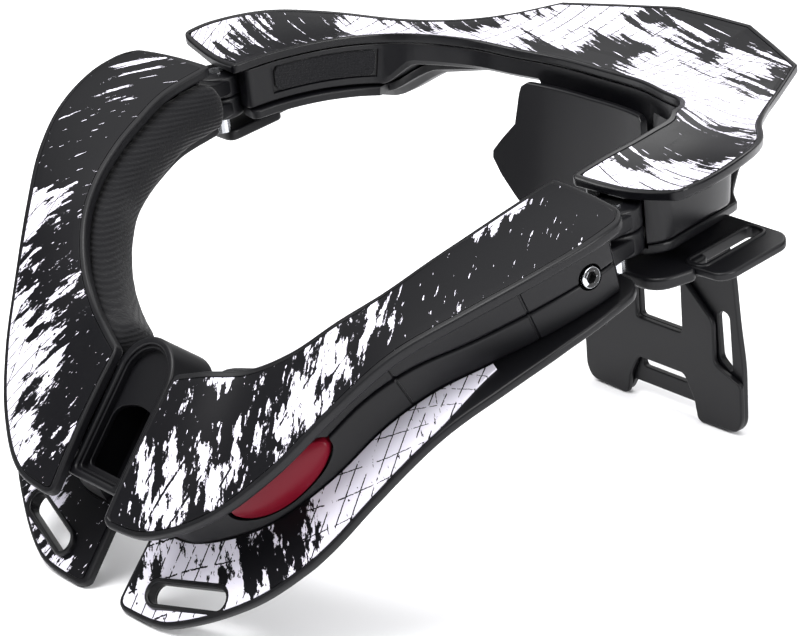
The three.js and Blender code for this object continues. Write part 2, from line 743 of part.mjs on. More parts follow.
function rearEdge(key, k) {
  const row = Math.min(Math.abs(k), REAR_ROWS);
  const side = k < 0 ? -1 : 1;
  const first = Math.min(Math.floor(row), REAR_ROWS - 1);
  const straight = key === "outer" && REAR_SECTIONS[first].corner && REAR_SECTIONS[first + 1].corner;
  if (straight) {
    const from = shared(side, REAR_SECTIONS[first][key]);
    return from.lerp(shared(side, REAR_SECTIONS[first + 1][key]), row - first);
  }
  const start = key === "outer" ? REAR_SECTIONS.findLastIndex((item) => item.corner) : 0;
  const points = REAR_SECTIONS.slice(start).map((item) => shared(side, item[key]));
  if (key === "inner") {
    const mirrored = REAR_SECTIONS.slice(1).map((item) => shared(-side, item[key]));
    points.unshift(...mirrored.reverse());
    return new THREE.CatmullRomCurve3(points).getPoint((row + REAR_ROWS) / (2 * REAR_ROWS));
  }
  return new THREE.CatmullRomCurve3(points).getPoint((row - start) / (REAR_ROWS - start));
}

function rearFrame(k) {
  const inner = rearEdge("inner", k);
  const outer = rearEdge("outer", k);
  const low = Math.max(k - 0.3, -REAR_ROWS);
  const high = Math.min(k + 0.3, REAR_ROWS);
  const ahead = rearEdge("inner", high).add(rearEdge("outer", high));
  ahead.sub(rearEdge("inner", low)).sub(rearEdge("outer", low));
  return frameFrom(inner, outer, ahead);
}

function rearStations(end, extras = []) {
  const values = [];
  const whole = Math.floor(end);
  for (let step = -whole * REAR_STEPS_PER_ROW; step <= whole * REAR_STEPS_PER_ROW; step += 1) {
    const k = step / REAR_STEPS_PER_ROW;
    if (Number.isInteger(k) || Math.abs(k) > REAR_STRAIGHT) values.push(k);
  }
  if (end > whole) {
    values.unshift(-end);
    values.push(end);
  }
  for (const extra of extras) values.push(extra, -extra);
  return values.sort((a, b) => a - b);
}

function rearTable() {
  const sections = rearStations(REAR_ROWS, [REAR_ROWS - 0.03, REAR_ROWS - 0.12]).map((k) => {
    const frame = rearFrame(k);
    const inset = cornerInset((REAR_ROWS - Math.abs(k)) * REAR_ROW_LENGTH, REAR_CORNER);
    return {
      frame,
      profile: plank(inset * 0.3, frame.width - inset, -PLATE, 0, -WING_DISH),
    };
  });
  return loft(sections);
}

function rearPrint() {
  const sections = rearStations(REAR_ROWS - 0.25).map((k) => {
    const frame = rearFrame(k);
    const fromEnd = (REAR_ROWS - 0.25 - Math.abs(k)) * REAR_ROW_LENGTH;
    const inset = PRINT_MARGIN + cornerInset(fromEnd, REAR_CORNER * 0.6);
    return {
      frame,
      profile: inlay(inset, frame.width - inset, GAP, -WING_DISH),
    };
  });
  return loft(sections);
}

const REAR_BODY_TOP = -PLATE - WING_DISH - GAP;
const REAR_BODY_WIDTH = 30;
const REAR_BODY_END = 9.35;
const REAR_LIP = 5.5;
const LEDGE_HEIGHT = 3.6;
const LEDGE_WIDTH = 34;
const LEDGE_PROUD = 1.5; // how far the ledge shows inside the collar at its ends
const PAD_SEAT = 5.4; // how far it stands in behind the back pad, to carry it
const BODY_OUTER_DROP = 18; // height of the rear body's outer wall
const BODY_INNER_DROP = 12.5; // height of its inner wall, at the ends and the middle
const NECK_DROP = 5; // height of its inner wall where the collar is slim beside the neck
const SLIM_OUTER_DROP = 9; // height of its outer wall there
const UNDER_FALL = 1.5; // how much its underside falls from the inner wall to the step
const LEDGE_STEP = 13; // how far in from the inner edge the underside steps down
const SLIM_FROM = 1.45;
const SLIM_TO = 5.85;
const SLIM_RAMP = 0.15; // rows over which the height changes at the inner step
const SLIM_RAMP_END = 0.1; // rows over which it changes at the outer step

// One where the collar is slim, nothing at its ends and behind the back pad.
function slim(k) {
  const row = Math.abs(k);
  const rising = THREE.MathUtils.smoothstep(row, SLIM_FROM - SLIM_RAMP, SLIM_FROM);
  return rising * (1 - THREE.MathUtils.smoothstep(row, SLIM_TO, SLIM_TO + SLIM_RAMP_END));
}

const STEP_ROWS = [SLIM_FROM - SLIM_RAMP, SLIM_FROM, SLIM_TO, SLIM_TO + SLIM_RAMP_END];

// The underside of the rear body at k: where it steps down, and how deep it is inside and outside.
function undersideAt(k) {
  const share = slim(k);
  const width = Math.min(REAR_BODY_WIDTH, rearFrame(k).width - 11);
  return {
    width,
    step: Math.min(THREE.MathUtils.lerp(LEDGE_STEP, LEDGE_STEP + 7, share), width - 8),
    inner: REAR_BODY_TOP - THREE.MathUtils.lerp(BODY_INNER_DROP, NECK_DROP, share),
    outer: REAR_BODY_TOP - THREE.MathUtils.lerp(BODY_OUTER_DROP, SLIM_OUTER_DROP, share),
  };
}

function rearBody() {
  const sections = rearStations(REAR_BODY_END, STEP_ROWS).map((k) => {
    const { width, step, inner, outer } = undersideAt(k);
    const lip = Math.max(REAR_BODY_TOP - REAR_LIP, inner + 1);
    const profile = [
      [1, REAR_BODY_TOP],
      [1, lip],
      [2.5, lip - 0.8],
      [3.5, inner],
      [step, inner - UNDER_FALL],
      [step + 6, outer],
      [width - 1, outer],
      [width, outer + 1],
      [width, REAR_BODY_TOP],
    ].map(([w, n]) => new THREE.Vector2(w, n));
    return { frame: rearFrame(k), profile };
  });
  return cut(loft(sections), ...[-1, 1].map((side) => knuckleRoom(side, -12)));
}

// The room in the rear pieces that an arm's knuckle turns in
function knuckleRoom(side, low) {
  return hingePost(side, KNUCKLE_RADIUS + KNUCKLE_CLEARANCE, low, KNUCKLE_HEIGHT + 12);
}

const LUG_PAST = 6; // how far the lug passes the arms' widest rim
const LUG_SLOT_INSET = 15; // middle of its slot, in from its tip
const LUG_BEHIND = 33; // middle of its slot behind the hinge pin
const LUG_DROP = 2.3; // middle of its plate below the knuckle's underside
const LUG_LEAN = 11;
const LUG_OUT = HALF_WIDTH + LUG_PAST;
const LUG_SLOT_OUT = LUG_OUT - LUG_SLOT_INSET;
const LUG_FORWARD = HINGE_FORWARD - LUG_BEHIND;
const LUG_UP = KNUCKLE_BOTTOM - LUG_DROP;
const LUG_FRONT = 33; // lug's plate ahead of the middle of its slot
const LUG_BACK = 19;

function lugAxes() {
  const lean = THREE.MathUtils.degToRad(LUG_LEAN);
  return {
    sideways: new THREE.Vector3(1, 0, 0),
    back: new THREE.Vector3(0, Math.cos(lean), Math.sin(lean)),
  };
}

function lugBlock(side) {
  const { sideways, back } = lugAxes();
  const near = HINGE_OUT - 12;
  const shape = outline([
    [side * near, -LUG_FRONT],
    [side * (LUG_OUT - 10), -LUG_FRONT],
    [side * (LUG_OUT - 5), -LUG_FRONT + 4],
    [side * LUG_OUT, -LUG_FRONT + 17],
    [side * LUG_OUT, LUG_BACK - 11],
    [side * (LUG_OUT - 12), LUG_BACK],
    [side * (near + 10), LUG_BACK],
    [side * near, -6],
  ]);
  const centre = place(1, 0, LUG_FORWARD, LUG_UP);
  return standing(shape, PLATE, centre, sideways, back, 0.6);
}

const RISER_WIDTH = 13;
const RISER_LENGTH = 30;
const RISER_HEIGHT = 4.5;
const RISER_RAISE = 2.1; // middle of the riser above the middle of the lug's plate

// The riser that carries the lug's plate under the collar
function lugRiser(side) {
  const riser = new THREE.BoxGeometry(RISER_WIDTH, RISER_LENGTH, RISER_HEIGHT);
  const centre = place(side, HINGE_OUT + 1, LUG_FORWARD - 3, LUG_UP + RISER_RAISE);
  riser.rotateX(THREE.MathUtils.degToRad(LUG_LEAN));
  return mergeable(riser.translate(centre.x, centre.y, centre.z));
}

function lugSlot(side) {
  const { sideways, back } = lugAxes();
  const centre = place(side, LUG_SLOT_OUT, LUG_FORWARD, LUG_UP);
  return standing(stadium(REAR_SLOT_LENGTH, REAR_SLOT_WIDTH), THROUGH, centre, back, sideways);
}

// The ledge under the rear body. It shows inside the collar at the ends and draws back between.
function rearFoot() {
  const sections = rearStations(REAR_ROWS - 0.8, STEP_ROWS).map((k) => {
    const frame = rearFrame(k);
    const under = undersideAt(k);
    const width = Math.min(LEDGE_WIDTH, frame.width - 8);
    const behindPad = Math.abs(k) <= SLIM_FROM - SLIM_RAMP;
    const proud = behindPad ? PAD_SEAT : LEDGE_PROUD;
    const near = THREE.MathUtils.lerp(-proud, under.step - 3, slim(k));
    const top = under.inner - UNDER_FALL - 2 * GAP;
    const outer = under.outer - GAP;
    const profile = [
      [near, top],
      [near, top - LEDGE_HEIGHT],
      [under.step - 1, top - LEDGE_HEIGHT],
      [under.step + 5, outer - LEDGE_HEIGHT],
      [width, outer - LEDGE_HEIGHT],
      [width, outer],
      [under.step + 5, outer],
      [under.step - 1, top],
    ].map(([w, n]) => new THREE.Vector2(w, n));
    return { frame, profile };
  });
  const lugs = [-1, 1].flatMap((side) => [lugBlock(side), lugRiser(side)]);
  const slots = [-1, 1].map((side) => lugSlot(side));
  const bores = [-1, 1].map((side) => hingePost(side, PIN_RADIUS + GAP, -14, 6));
  const rooms = [-1, 1].map((side) => knuckleRoom(side, -2 * GAP));
  return cut(join(loft(sections), ...lugs), ...slots, ...bores, ...rooms);
}

function hingePin(side) {
  return hingePost(side, PIN_RADIUS, -7.4, KNUCKLE_HEIGHT + 0.4);
}

const PATCH_START = 6.1;
const PATCH_END = 8.9;
const PATCH_HEIGHT = 8;
const PATCH_STEPS = 6;

function loopPatch(side) {
  const sections = [];
  for (let step = 0; step <= PATCH_STEPS; step += 1) {
    const k = side * THREE.MathUtils.lerp(PATCH_START, PATCH_END, step / PATCH_STEPS);
    const frame = rearFrame(k);
    const high = REAR_BODY_TOP - 1.5;
    sections.push({
      frame,
      profile: plank(-0.5, 1 - GAP, high - PATCH_HEIGHT, high, 0, 0.4),
    });
  }
  return loft(sections);
}

// Strut and back pad. The strut is drawn in a plane that leans forward from the feet.
const STRUT_FORWARD = STRUT_FACE - STRUT_LAYER - GAP - STRUT_PLATE / 2; // middle of its plate

// A flat piece of the strut, its middle plane so far ahead of the feet's zero line at the floor.
function onStrut(shape, thickness, forward, bevel) {
  const lean = THREE.MathUtils.degToRad(STRUT_LEAN);
  const sideways = new THREE.Vector3(1, 0, 0);
  const up = new THREE.Vector3(0, -Math.sin(lean), Math.cos(lean));
  return standing(shape, thickness, place(1, 0, forward, FLOOR + 0.2), sideways, up, bevel);
}

// Half outlines, out as a share of STRUT_HALF and up as a share of STRUT_TOP.
const STRUT_OUTLINE = [
  { out: 0.5, up: 0.0 },
  { out: 0.88, up: 0.0 },
  { out: 0.97, up: 0.04 },
  { out: 0.98, up: 0.24 },
  { out: 0.93, up: 0.38 },
  { out: 0.89, up: 0.56 },
  { out: 0.8, up: 0.66 },
  { out: 0.8, up: 1.019 },
];
const LAYER_OUTLINE = [
  { out: 0.45, up: 0.0 },
  { out: 0.93, up: 0.01 },
  { out: 1.0, up: 0.05 },
  { out: 1.0, up: 0.185 },
  { out: 0.68, up: 0.23 },
  { out: 0.68, up: 0.38 },
  { out: 0.34, up: 0.49 },
  { out: 0.29, up: 0.49 },
];
const STRUT_LEG = 0.29; // inner edge of a leg
const STRUT_FOOT = 0.41; // inner edge of a foot
const STRUT_BAR = { low: 0.155, high: 0.3 }; // the bar of both layers
const STRUT_LOW_BAR = { low: 0.055, high: 0.115 }; // the low bar of the plate alone
const STRUT_OPEN_TOP = 0.64; // top of the opening between the legs
const STRUT_WINDOW = [
  { out: 0.69, up: 0.4 },
  { out: 0.74, up: 0.42 },
  { out: 0.83, up: 0.41 },
  { out: 0.85, up: 0.21 },
  { out: 0.71, up: 0.25 },
];

function onBothSides(rows) {
  const right = rows.map(({ out, up }) => [out * STRUT_HALF, up * STRUT_TOP]);
  const left = right.map(([x, y]) => [-x, y]).reverse();
  return { right, left };
}

function windowPath(points) {
  return new THREE.Path(points.map(([x, y]) => new THREE.Vector2(x, y)));
}

function legGap(low, high) {
  const leg = STRUT_LEG * STRUT_HALF;
  return windowPath([
    [-leg, low * STRUT_TOP],
    [-leg, high * STRUT_TOP],
    [leg, high * STRUT_TOP],
    [leg, low * STRUT_TOP],
  ]);
}

function backStrut() {
  const { right, left } = onBothSides(STRUT_OUTLINE);
  const foot = STRUT_FOOT * STRUT_HALF;
  const leg = STRUT_LEG * STRUT_HALF;
  const low = STRUT_LOW_BAR.low * STRUT_TOP;
  const shape = outline([...right, ...left, [-foot, low], [-leg, low], [leg, low], [foot, low]]);
  const windows = onBothSides(STRUT_WINDOW);
  shape.holes.push(
    legGap(STRUT_BAR.high, STRUT_OPEN_TOP),
    legGap(STRUT_LOW_BAR.high, STRUT_BAR.low),
    windowPath(windows.right),
    windowPath(windows.left),
  );
  return onStrut(shape, STRUT_PLATE, STRUT_FORWARD, 0.5);
}

// The layer on the strut's front face, shaped like an H
function strutLayer() {
  const { right, left } = onBothSides(LAYER_OUTLINE);
  const leg = STRUT_LEG * STRUT_HALF;
  const foot = STRUT_FOOT * STRUT_HALF;
  const high = STRUT_BAR.high * STRUT_TOP;
  const low = STRUT_BAR.low * STRUT_TOP;
  const shape = outline([
    ...right,
    [leg, high],
    [-leg, high],
    ...left,
    [-foot, low * 0.5],
    [-leg, low],
    [leg, low],
    [foot, low * 0.5],
  ]);
  return onStrut(shape, STRUT_LAYER, STRUT_FACE - STRUT_LAYER / 2, 0.6);
}

// The back pad hangs inside the rear opening and follows its inner edge. One row for each section
// from the middle out: out as a share of APRON_HALF, top and bottom as shares of COLLAR_HEIGHT.
const APRON_SECTIONS = [
  { out: 0.0, top: 0.868, bottom: 0.478 },
  { out: 0.4, top: 0.87, bottom: 0.5 },
  { out: 0.7, top: 0.872, bottom: 0.55 },
  { out: 0.76, top: 0.86, bottom: 0.566 },
  { out: 0.8, top: 0.765, bottom: 0.58 },
  { out: 0.92, top: 0.722, bottom: 0.625 },
  { out: 1.0, top: 0.69, bottom: 0.665 },
];

function backPad() {
  const rows = [
    ...APRON_SECTIONS.slice(1)
      .map((row) => ({ ...row, side: -1 }))
      .reverse(),
    ...APRON_SECTIONS.map((row) => ({ ...row, side: 1 })),
  ];
  const sections = rows.map(({ out, top, bottom, side }) => {
    const edge = rearFrame(side * kAcross(out * APRON_HALF));
    const away = new THREE.Vector3(edge.across.x, edge.across.y, 0).normalize();
    const frame = {
      origin: edge.origin.clone().setZ(-FLOOR),
      across: away,
      along: new THREE.Vector3().crossVectors(away, new THREE.Vector3(0, 0, 1)),
      rise: new THREE.Vector3(0, 0, 1),
    };
    const far = -APRON_STANDOFF;
    const low = bottom * COLLAR_HEIGHT;
    const high = top * COLLAR_HEIGHT;
    return { frame, profile: plank(far - APRON_THICKNESS, far, low, high, 0, 1) };
  });
  return loft(sections);
}

// The row position on the rear table whose inner edge lies so far out.
function kAcross(out) {
  let low = 0;
  let high = REAR_ROWS;
  for (let step = 0; step < 30; step += 1) {
    const middle = (low + high) / 2;
    if (rearEdge("inner", middle).x < out) low = middle;
    else high = middle;
  }
  return low;
}

// Materials
const SATIN_BLACK = { color: 0x1f1f22, roughness: 0.5, metalness: 0 };
const GLOSS_BLACK = { color: 0x17171a, roughness: 0.28, metalness: 0 };
const FOAM_BLACK = { color: 0x26262a, roughness: 0.95, metalness: 0 };
const PRINT = { color: 0xd9d9df, roughness: 0.35, metalness: 0 };
const BUTTON_RED = { color: 0x9a1424, roughness: 0.4, metalness: 0 };
const STEEL = { color: 0xc9ccd0, roughness: 0.25, metalness: 1 };

const brace = new THREE.Group();

function add(name, geometry, look) {
  const mesh = new THREE.Mesh(geometry, new THREE.MeshStandardMaterial(look));
  mesh.name = name;
  brace.add(mesh);
}

for (const [name, side] of [
  ["left", 1],
  ["right", -1],
]) {
  add(`${name}_arm_table`, armTable(side), SATIN_BLACK);
  add(`${name}_arm_print`, armPrint(side), PRINT);
  add(`${name}_arm_upper_shell`, armUpperShell(side), SATIN_BLACK);
  add(`${name}_arm_lower_shell`, armLowerShell(side), SATIN_BLACK);
  add(`${name}_arm_foot`, armFoot(side), SATIN_BLACK);
  add(`${name}_foot_print`, footPrint(side), PRINT);
  add(`${name}_arm_pad`, armPad(side), FOAM_BLACK);
  add(`${name}_arm_bolt`, armBolt(side), STEEL);
  add(`${name}_hinge_pin`, hingePin(side), STEEL);
  add(`${name}_loop_patch`, loopPatch(side), FOAM_BLACK);
}
add("release_button", releaseButton(), BUTTON_RED);
add("latch_tongue", latchTongue(), SATIN_BLACK);
add("latch_housing", latchHousing(), SATIN_BLACK);
add("rear_table", rearTable(), SATIN_BLACK);
add("rear_print", rearPrint(), PRINT);
add("rear_body", rearBody(), GLOSS_BLACK);
add("rear_foot", rearFoot(), SATIN_BLACK);
add("back_pad", backPad(), SATIN_BLACK);
add("back_strut", backStrut(), SATIN_BLACK);
add("strut_layer", strutLayer(), SATIN_BLACK);

export default brace;
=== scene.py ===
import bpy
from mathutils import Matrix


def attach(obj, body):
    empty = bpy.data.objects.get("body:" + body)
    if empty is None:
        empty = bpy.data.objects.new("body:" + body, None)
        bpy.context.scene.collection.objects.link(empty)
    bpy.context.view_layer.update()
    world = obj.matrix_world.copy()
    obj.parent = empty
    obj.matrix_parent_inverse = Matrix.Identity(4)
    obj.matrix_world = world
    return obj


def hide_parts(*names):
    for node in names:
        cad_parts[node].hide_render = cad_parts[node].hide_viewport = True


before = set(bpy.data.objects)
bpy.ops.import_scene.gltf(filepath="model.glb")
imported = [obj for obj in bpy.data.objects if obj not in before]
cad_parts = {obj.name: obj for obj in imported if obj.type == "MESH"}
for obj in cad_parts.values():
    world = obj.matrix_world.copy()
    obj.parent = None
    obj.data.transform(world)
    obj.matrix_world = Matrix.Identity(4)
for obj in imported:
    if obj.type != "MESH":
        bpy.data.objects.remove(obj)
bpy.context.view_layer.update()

import math

import bpy
import numpy as np
from mathutils import Matrix, Vector

bl_info = {
    "name": "Neck Brace",
    "version": (1, 0, 0),
    "blender": (4, 5, 0),
    "location": "View3D > Sidebar > Neck Brace",
    "description": "Builds the visible pieces of a motocross neck brace over its packed frame",
    "category": "Object",
}

# Millimetres, as in the part's own drawing. Lengths forward start at the strut's feet.
HALF_WIDTH = 140.0
REACH = 290.0
COLLAR_HEIGHT = 160.0
CENTRE_FORWARD = 132.7
FLOOR = -1.71
MM = 0.001

# Table heights in a section, square to the tables and counted from the upper table's top
PLATE = 3.2
GAP = 0.3
UPPER_TOP = -PLATE - GAP
PARTING = UPPER_TOP - 11.6
LOWER_TOP = PARTING - GAP
LOWER_BOTTOM = LOWER_TOP - 11.0
FOOT_TOP = LOWER_BOTTOM - GAP
FOOT_BOTTOM = FOOT_TOP - PLATE
BODY_INSET = 6.0
ARM_START = 0.012
ARM_END = 0.985
FOOT_OVERRUN = 4.5

# Sections of an arm from its rear end to the closure: the upper table's inner and outer edge, out,
# forward and up as shares of HALF_WIDTH, REACH and COLLAR_HEIGHT, and how far the lower table runs
# past the upper one, as a share of HALF_WIDTH.
ARM_ROWS = [
    # inner edge, outer edge, lower table
    ((0.682, 0.537, 0.943), (0.996, 0.561, 0.940), -0.010),
    ((0.679, 0.614, 0.900), (1.000, 0.621, 0.906), -0.005),
    ((0.657, 0.662, 0.859), (0.957, 0.690, 0.850), 0.018),
    ((0.629, 0.707, 0.816), (0.871, 0.755, 0.775), 0.055),
    ((0.586, 0.755, 0.759), (0.757, 0.814, 0.681), 0.095),
    ((0.521, 0.797, 0.700), (0.657, 0.866, 0.556), 0.134),
    ((0.429, 0.831, 0.622), (0.557, 0.917, 0.419), 0.158),
    ((0.321, 0.855, 0.566), (0.429, 0.962, 0.303), 0.163),
    ((0.214, 0.876, 0.544), (0.271, 0.995, 0.234), 0.180),
    ((0.121, 0.890, 0.519), (0.107, 1.000, 0.219), 0.181),
]

# Sections of the rear table from the middle plane to its front end, with the same shares. The last
# column marks the wing's sharp corners.
REAR_ROWS = [
    # inner edge, outer edge, corner
    ((0.000, 0.138, 0.929), (0.000, -0.081, 1.000), True),
    ((0.160, 0.145, 0.933), (0.139, -0.079, 1.000), True),
    ((0.300, 0.169, 0.939), (0.300, -0.041, 0.991), True),
    ((0.400, 0.190, 0.948), (0.457, -0.003, 0.981), True),
    ((0.471, 0.224, 0.959), (0.536, 0.069, 0.958), False),
    ((0.521, 0.262, 0.968), (0.607, 0.128, 0.950), False),
    ((0.564, 0.290, 0.968), (0.700, 0.190, 0.954), False),
    ((0.602, 0.337, 0.968), (0.857, 0.272, 0.973), False),
    ((0.631, 0.385, 0.963), (0.946, 0.347, 0.983), False),
    ((0.654, 0.445, 0.953), (0.990, 0.428, 0.971), False),
    ((0.671, 0.505, 0.935), (0.985, 0.478, 0.956), False),
]
REAR_LAST = len(REAR_ROWS) - 1
WING_DISH = 2.6
REAR_TOP = -PLATE - WING_DISH - GAP

SIDES = (("left", 1), ("right", -1))


def linear(code):
    """A linear colour from an sRGB hex code."""
    parts = [int(code[i : i + 2], 16) / 255 for i in (1, 3, 5)]
    return [c / 12.92 if c <= 0.04045 else ((c + 0.055) / 1.055) ** 2.4 for c in parts] + [1.0]


def length(name, description, millimetres):
    """A length in the sidebar, which Blender holds in metres."""
    return bpy.props.FloatProperty(
        name=name, description=description, default=millimetres * MM, min=0, precision=5, unit="LENGTH"
    )


def colour(name, description, code):
    """A colour in the sidebar, from its sRGB hex code."""
    return bpy.props.FloatVectorProperty(
        name=name, description=description, default=linear(code), min=0, max=1, size=4, subtype="COLOR"
    )


class BRACE_PG_sizes(bpy.types.PropertyGroup):
    """The sizes that the sidebar holds"""

    table_edge: length("Table edge", "Radius of the rounded edges of the upper tables", 1.3)
    rim_width: length("Rim width", "Width of the rim round a printed inlay", 2.4)
    rim_height: length("Rim height", "Height of the rim over the inlay's bed", 0.75)
    pad_depth: length("Pad depth", "How far the arm pads stand in past the inner edge of the tables", 6.6)
    slot_length: length("Slot length", "Length of the strap slots in the lower tables", 34.5)
    slot_width: length("Slot width", "Width of the strap slots in the lower tables", 7.4)
    seam_depth: length("Seam depth", "Depth of the upright seams in the arm shells", 0.55)
    button_crown: length("Button crown", "How far the release button bulges out of the shell", 2.4)


class BRACE_PG_colours(bpy.types.PropertyGroup):
    """The colours that the sidebar holds"""

    satin: colour("Satin nylon", "Arm shells, lower tables, strut and latch", "#09090c")
    gloss: colour("Polished nylon", "Rear table and the body under it", "#08080b")
    print_dark: colour("Print, dark", "Ink of the printed inlays", "#0b0b0e")
    print_light: colour("Print, light", "Ground of the printed inlays", "#d6d3df")
    foam: colour("Pad fabric", "Ribbed knit of the arm pads", "#0a0a0d")
    loop: colour("Loop tape", "Fuzzy patches inside the rear collar", "#111114")
    button: colour("Button", "Release button", "#620b1b")
    # The bolts' sockets: near black, a painted shade for the shade inside the hex hole
    socket: colour("Bolt socket", "Inside of the bolts' hex sockets", "#08080a")
    steel: colour("Bolts and pins", "Turned steel", "#c3c5c9")
    floor: colour("Floor", "Studio floor", "#f4f4f6")


def size(name):
    """A size that the sidebar holds, in millimetres."""
    return getattr(bpy.context.scene.brace_sizes, name) / MM


def tint(name):
    """A colour that the sidebar holds, linear, with its alpha."""
    return getattr(bpy.context.scene.brace_colours, name)[:]


# Places and sections
def place(side, out, forward, up):
    """The part's own frame: +X to the left side, +Y to the back, +Z up, from the floor."""
    return np.array([side * out, CENTRE_FORWARD - forward, up - FLOOR])


def shared(side, shares):
    """The place of a table's row: shares of the half width, the reach and the height."""
    return place(side, shares[0] * HALF_WIDTH, shares[1] * REACH, shares[2] * COLLAR_HEIGHT)


def curve_at(points, t):
    """A point at t, from 0 to 1, on the smooth curve through the points."""
    last = len(points) - 1
    first = min(int(t * last), last - 1)
    share = t * last - first
    p1, p2 = points[first], points[first + 1]
    p0 = points[first - 1] if first > 0 else 2 * p1 - p2
    p3 = points[first + 2] if first + 2 <= last else 2 * p2 - p1
    d0, d1, d2 = (math.sqrt(np.linalg.norm(b - a)) for a, b in ((p0, p1), (p1, p2), (p2, p3)))
    t1 = ((p1 - p0) / d0 - (p2 - p0) / (d0 + d1) + (p2 - p1) / d1) * d1
    t2 = ((p2 - p1) / d1 - (p3 - p1) / (d1 + d2) + (p3 - p2) / d2) * d1
    cubic = 2 * p1 - 2 * p2 + t1 + t2
    square = -3 * p1 + 3 * p2 - 2 * t1 - t2
    return p1 + t1 * share + square * share**2 + cubic * share**3


class Section:
    """A slice across a table: w runs outwards from its inner edge, n stands square on it."""

    def __init__(self, inner, outer, ahead):
        self.origin = inner
        self.width = float(np.linalg.norm(outer - inner))
        self.across = (outer - inner) / self.width
        along = ahead - self.across * ahead.dot(self.across)
        self.along = along / np.linalg.norm(along)
        rise = np.cross(self.along, self.across)
        self.rise = rise if rise[2] > 0 else -rise
        self.foot = self.width

    def at(self, w, n, t=0.0):
        return self.origin + self.across * w + self.rise * n + self.along * t


def smooth(value, low, high):
    """An eased share: 0 at low, 1 at high."""
    share = min(max((value - low) / (high - low), 0.0), 1.0)
    return share * share * (3 - 2 * share)


ARM_EDGES = {
    side: [[shared(side, row[edge]) for row in ARM_ROWS] for edge in (0, 1)] for side in (1, -1)
}


def arm_section(side, u):
    """The slice across an arm at u, from 0 at its rear end to 1 at the closure."""
    inner, outer = ARM_EDGES[side]
    low, high = max(0.0, u - 0.04), min(1.0, u + 0.04)
    ahead = curve_at(inner, high) + curve_at(outer, high) - curve_at(inner, low) - curve_at(outer, low)
    made = Section(curve_at(inner, u), curve_at(outer, u), ahead)
    row = u * (len(ARM_ROWS) - 1)
    first = min(int(row), len(ARM_ROWS) - 2)
    share = ARM_ROWS[first][2] + (ARM_ROWS[first + 1][2] - ARM_ROWS[first][2]) * (row - first)
    made.foot = made.width + share * HALF_WIDTH
    return made


def foot_section(side, u):
    """The same slice, moved on at the closure, where the lower table passes the upper one."""
    made = arm_section(side, u)
    made.origin = made.origin - np.array([side * smooth(u, 0.8, 1.0) * FOOT_OVERRUN, 0, 0])
    return made


ARM_LENGTH = sum(
    np.linalg.norm(curve_at(edge, (i + 1) / 200) - curve_at(edge, i / 200))
    for edge in ARM_EDGES[1]
    for i in range(200)
) / 2


def rear_edge(edge, k):
    """A point on the rear table's inner (0) or outer (1) edge at row k, below 0 on the right."""
    row = min(abs(k), REAR_LAST)
    side = -1 if k < 0 else 1
    first = min(int(row), REAR_LAST - 1)
    if edge == 1:
        if REAR_ROWS[first][2] and REAR_ROWS[first + 1][2]:
            a, b = shared(side, REAR_ROWS[first][1]), shared(side, REAR_ROWS[first + 1][1])
            return a + (b - a) * (row - first)
        start = max(i for i, item in enumerate(REAR_ROWS) if item[2])
        points = [shared(side, item[1]) for item in REAR_ROWS[start:]]
        return curve_at(points, (row - start) / (REAR_LAST - start))
    points = [shared(-side, item[0]) for item in reversed(REAR_ROWS[1:])]
    points += [shared(side, item[0]) for item in REAR_ROWS]
    return curve_at(points, (row + REAR_LAST) / (2 * REAR_LAST))


def rear_section(k):
    """The slice across the rear table at row k."""
    low, high = max(k - 0.3, -REAR_LAST), min(k + 0.3, REAR_LAST)
    ahead = rear_edge(0, high) + rear_edge(1, high) - rear_edge(0, low) - rear_edge(1, low)
    return Section(rear_edge(0, k), rear_edge(1, k), ahead)


# Meshes
def deselect():
    """Leaves edit mode and selects nothing, since operators act on all that is selected."""
    if bpy.context.object and bpy.context.object.mode != "OBJECT":
        bpy.ops.object.mode_set(mode="OBJECT")
    bpy.ops.object.select_all(action="DESELECT")


def only(obj):
    """Selects one object alone and makes it the active one."""
    deselect()
    obj.select_set(True)
    bpy.context.view_layer.objects.active = obj
    return obj


def settle(obj):
    """Merges doubles, closes the ends and turns every face outwards."""
    only(obj)
    bpy.ops.object.mode_set(mode="EDIT")
    bpy.ops.mesh.select_all(action="SELECT")
    bpy.ops.mesh.remove_doubles(threshold=2e-6)
    bpy.ops.mesh.fill_holes(sides=0)
    bpy.ops.mesh.normals_make_consistent(inside=False)
    bpy.ops.object.mode_set(mode="OBJECT")
    return obj


def loft(name, rings):
    """A closed body: a grid wrapped round the rings of points, in millimetres, and capped."""
    deselect()
    columns = len(rings[0])
    bpy.ops.mesh.primitive_grid_add(x_subdivisions=columns, y_subdivisions=len(rings) - 1, size=1)
    obj = bpy.context.object
    obj.name = name
    wrapped = np.array([list(ring) + [ring[0]] for ring in rings])
    obj.data.vertices.foreach_set("co", (wrapped * MM).astype(np.float32).ravel())
    obj.data.update()
    return settle(obj)


def finish_mesh(obj, angle=35):
    """Shades the rounded faces smoothly, with edges past the angle in degrees left sharp."""
    only(obj)
    bpy.ops.object.shade_smooth_by_angle(angle=math.radians(angle))
    return apply_modifier(obj, "WEIGHTED_NORMAL", keep_sharp=True)


def apply_modifier(obj, kind, **settings):
    """Adds a modifier with its settings and applies it."""
    only(obj)
    bpy.ops.object.modifier_add(type=kind)
    made = obj.modifiers[-1]
    for key, value in settings.items():
        setattr(made, key, value)
    bpy.ops.object.modifier_apply(modifier=made.name)
    return obj


def cut(obj, *tools):
    """Takes each tool's volume out of the object and deletes the tool."""
    for tool in tools:
        apply_modifier(obj, "BOOLEAN", operation="DIFFERENCE", object=tool, solver="EXACT")
        bpy.data.objects.remove(tool)
    return obj


def join(first, *others):
    """Joins the others' meshes into the first object."""
    only(first)
    for other in others:
        other.select_set(True)
    bpy.ops.object.join()
    return first


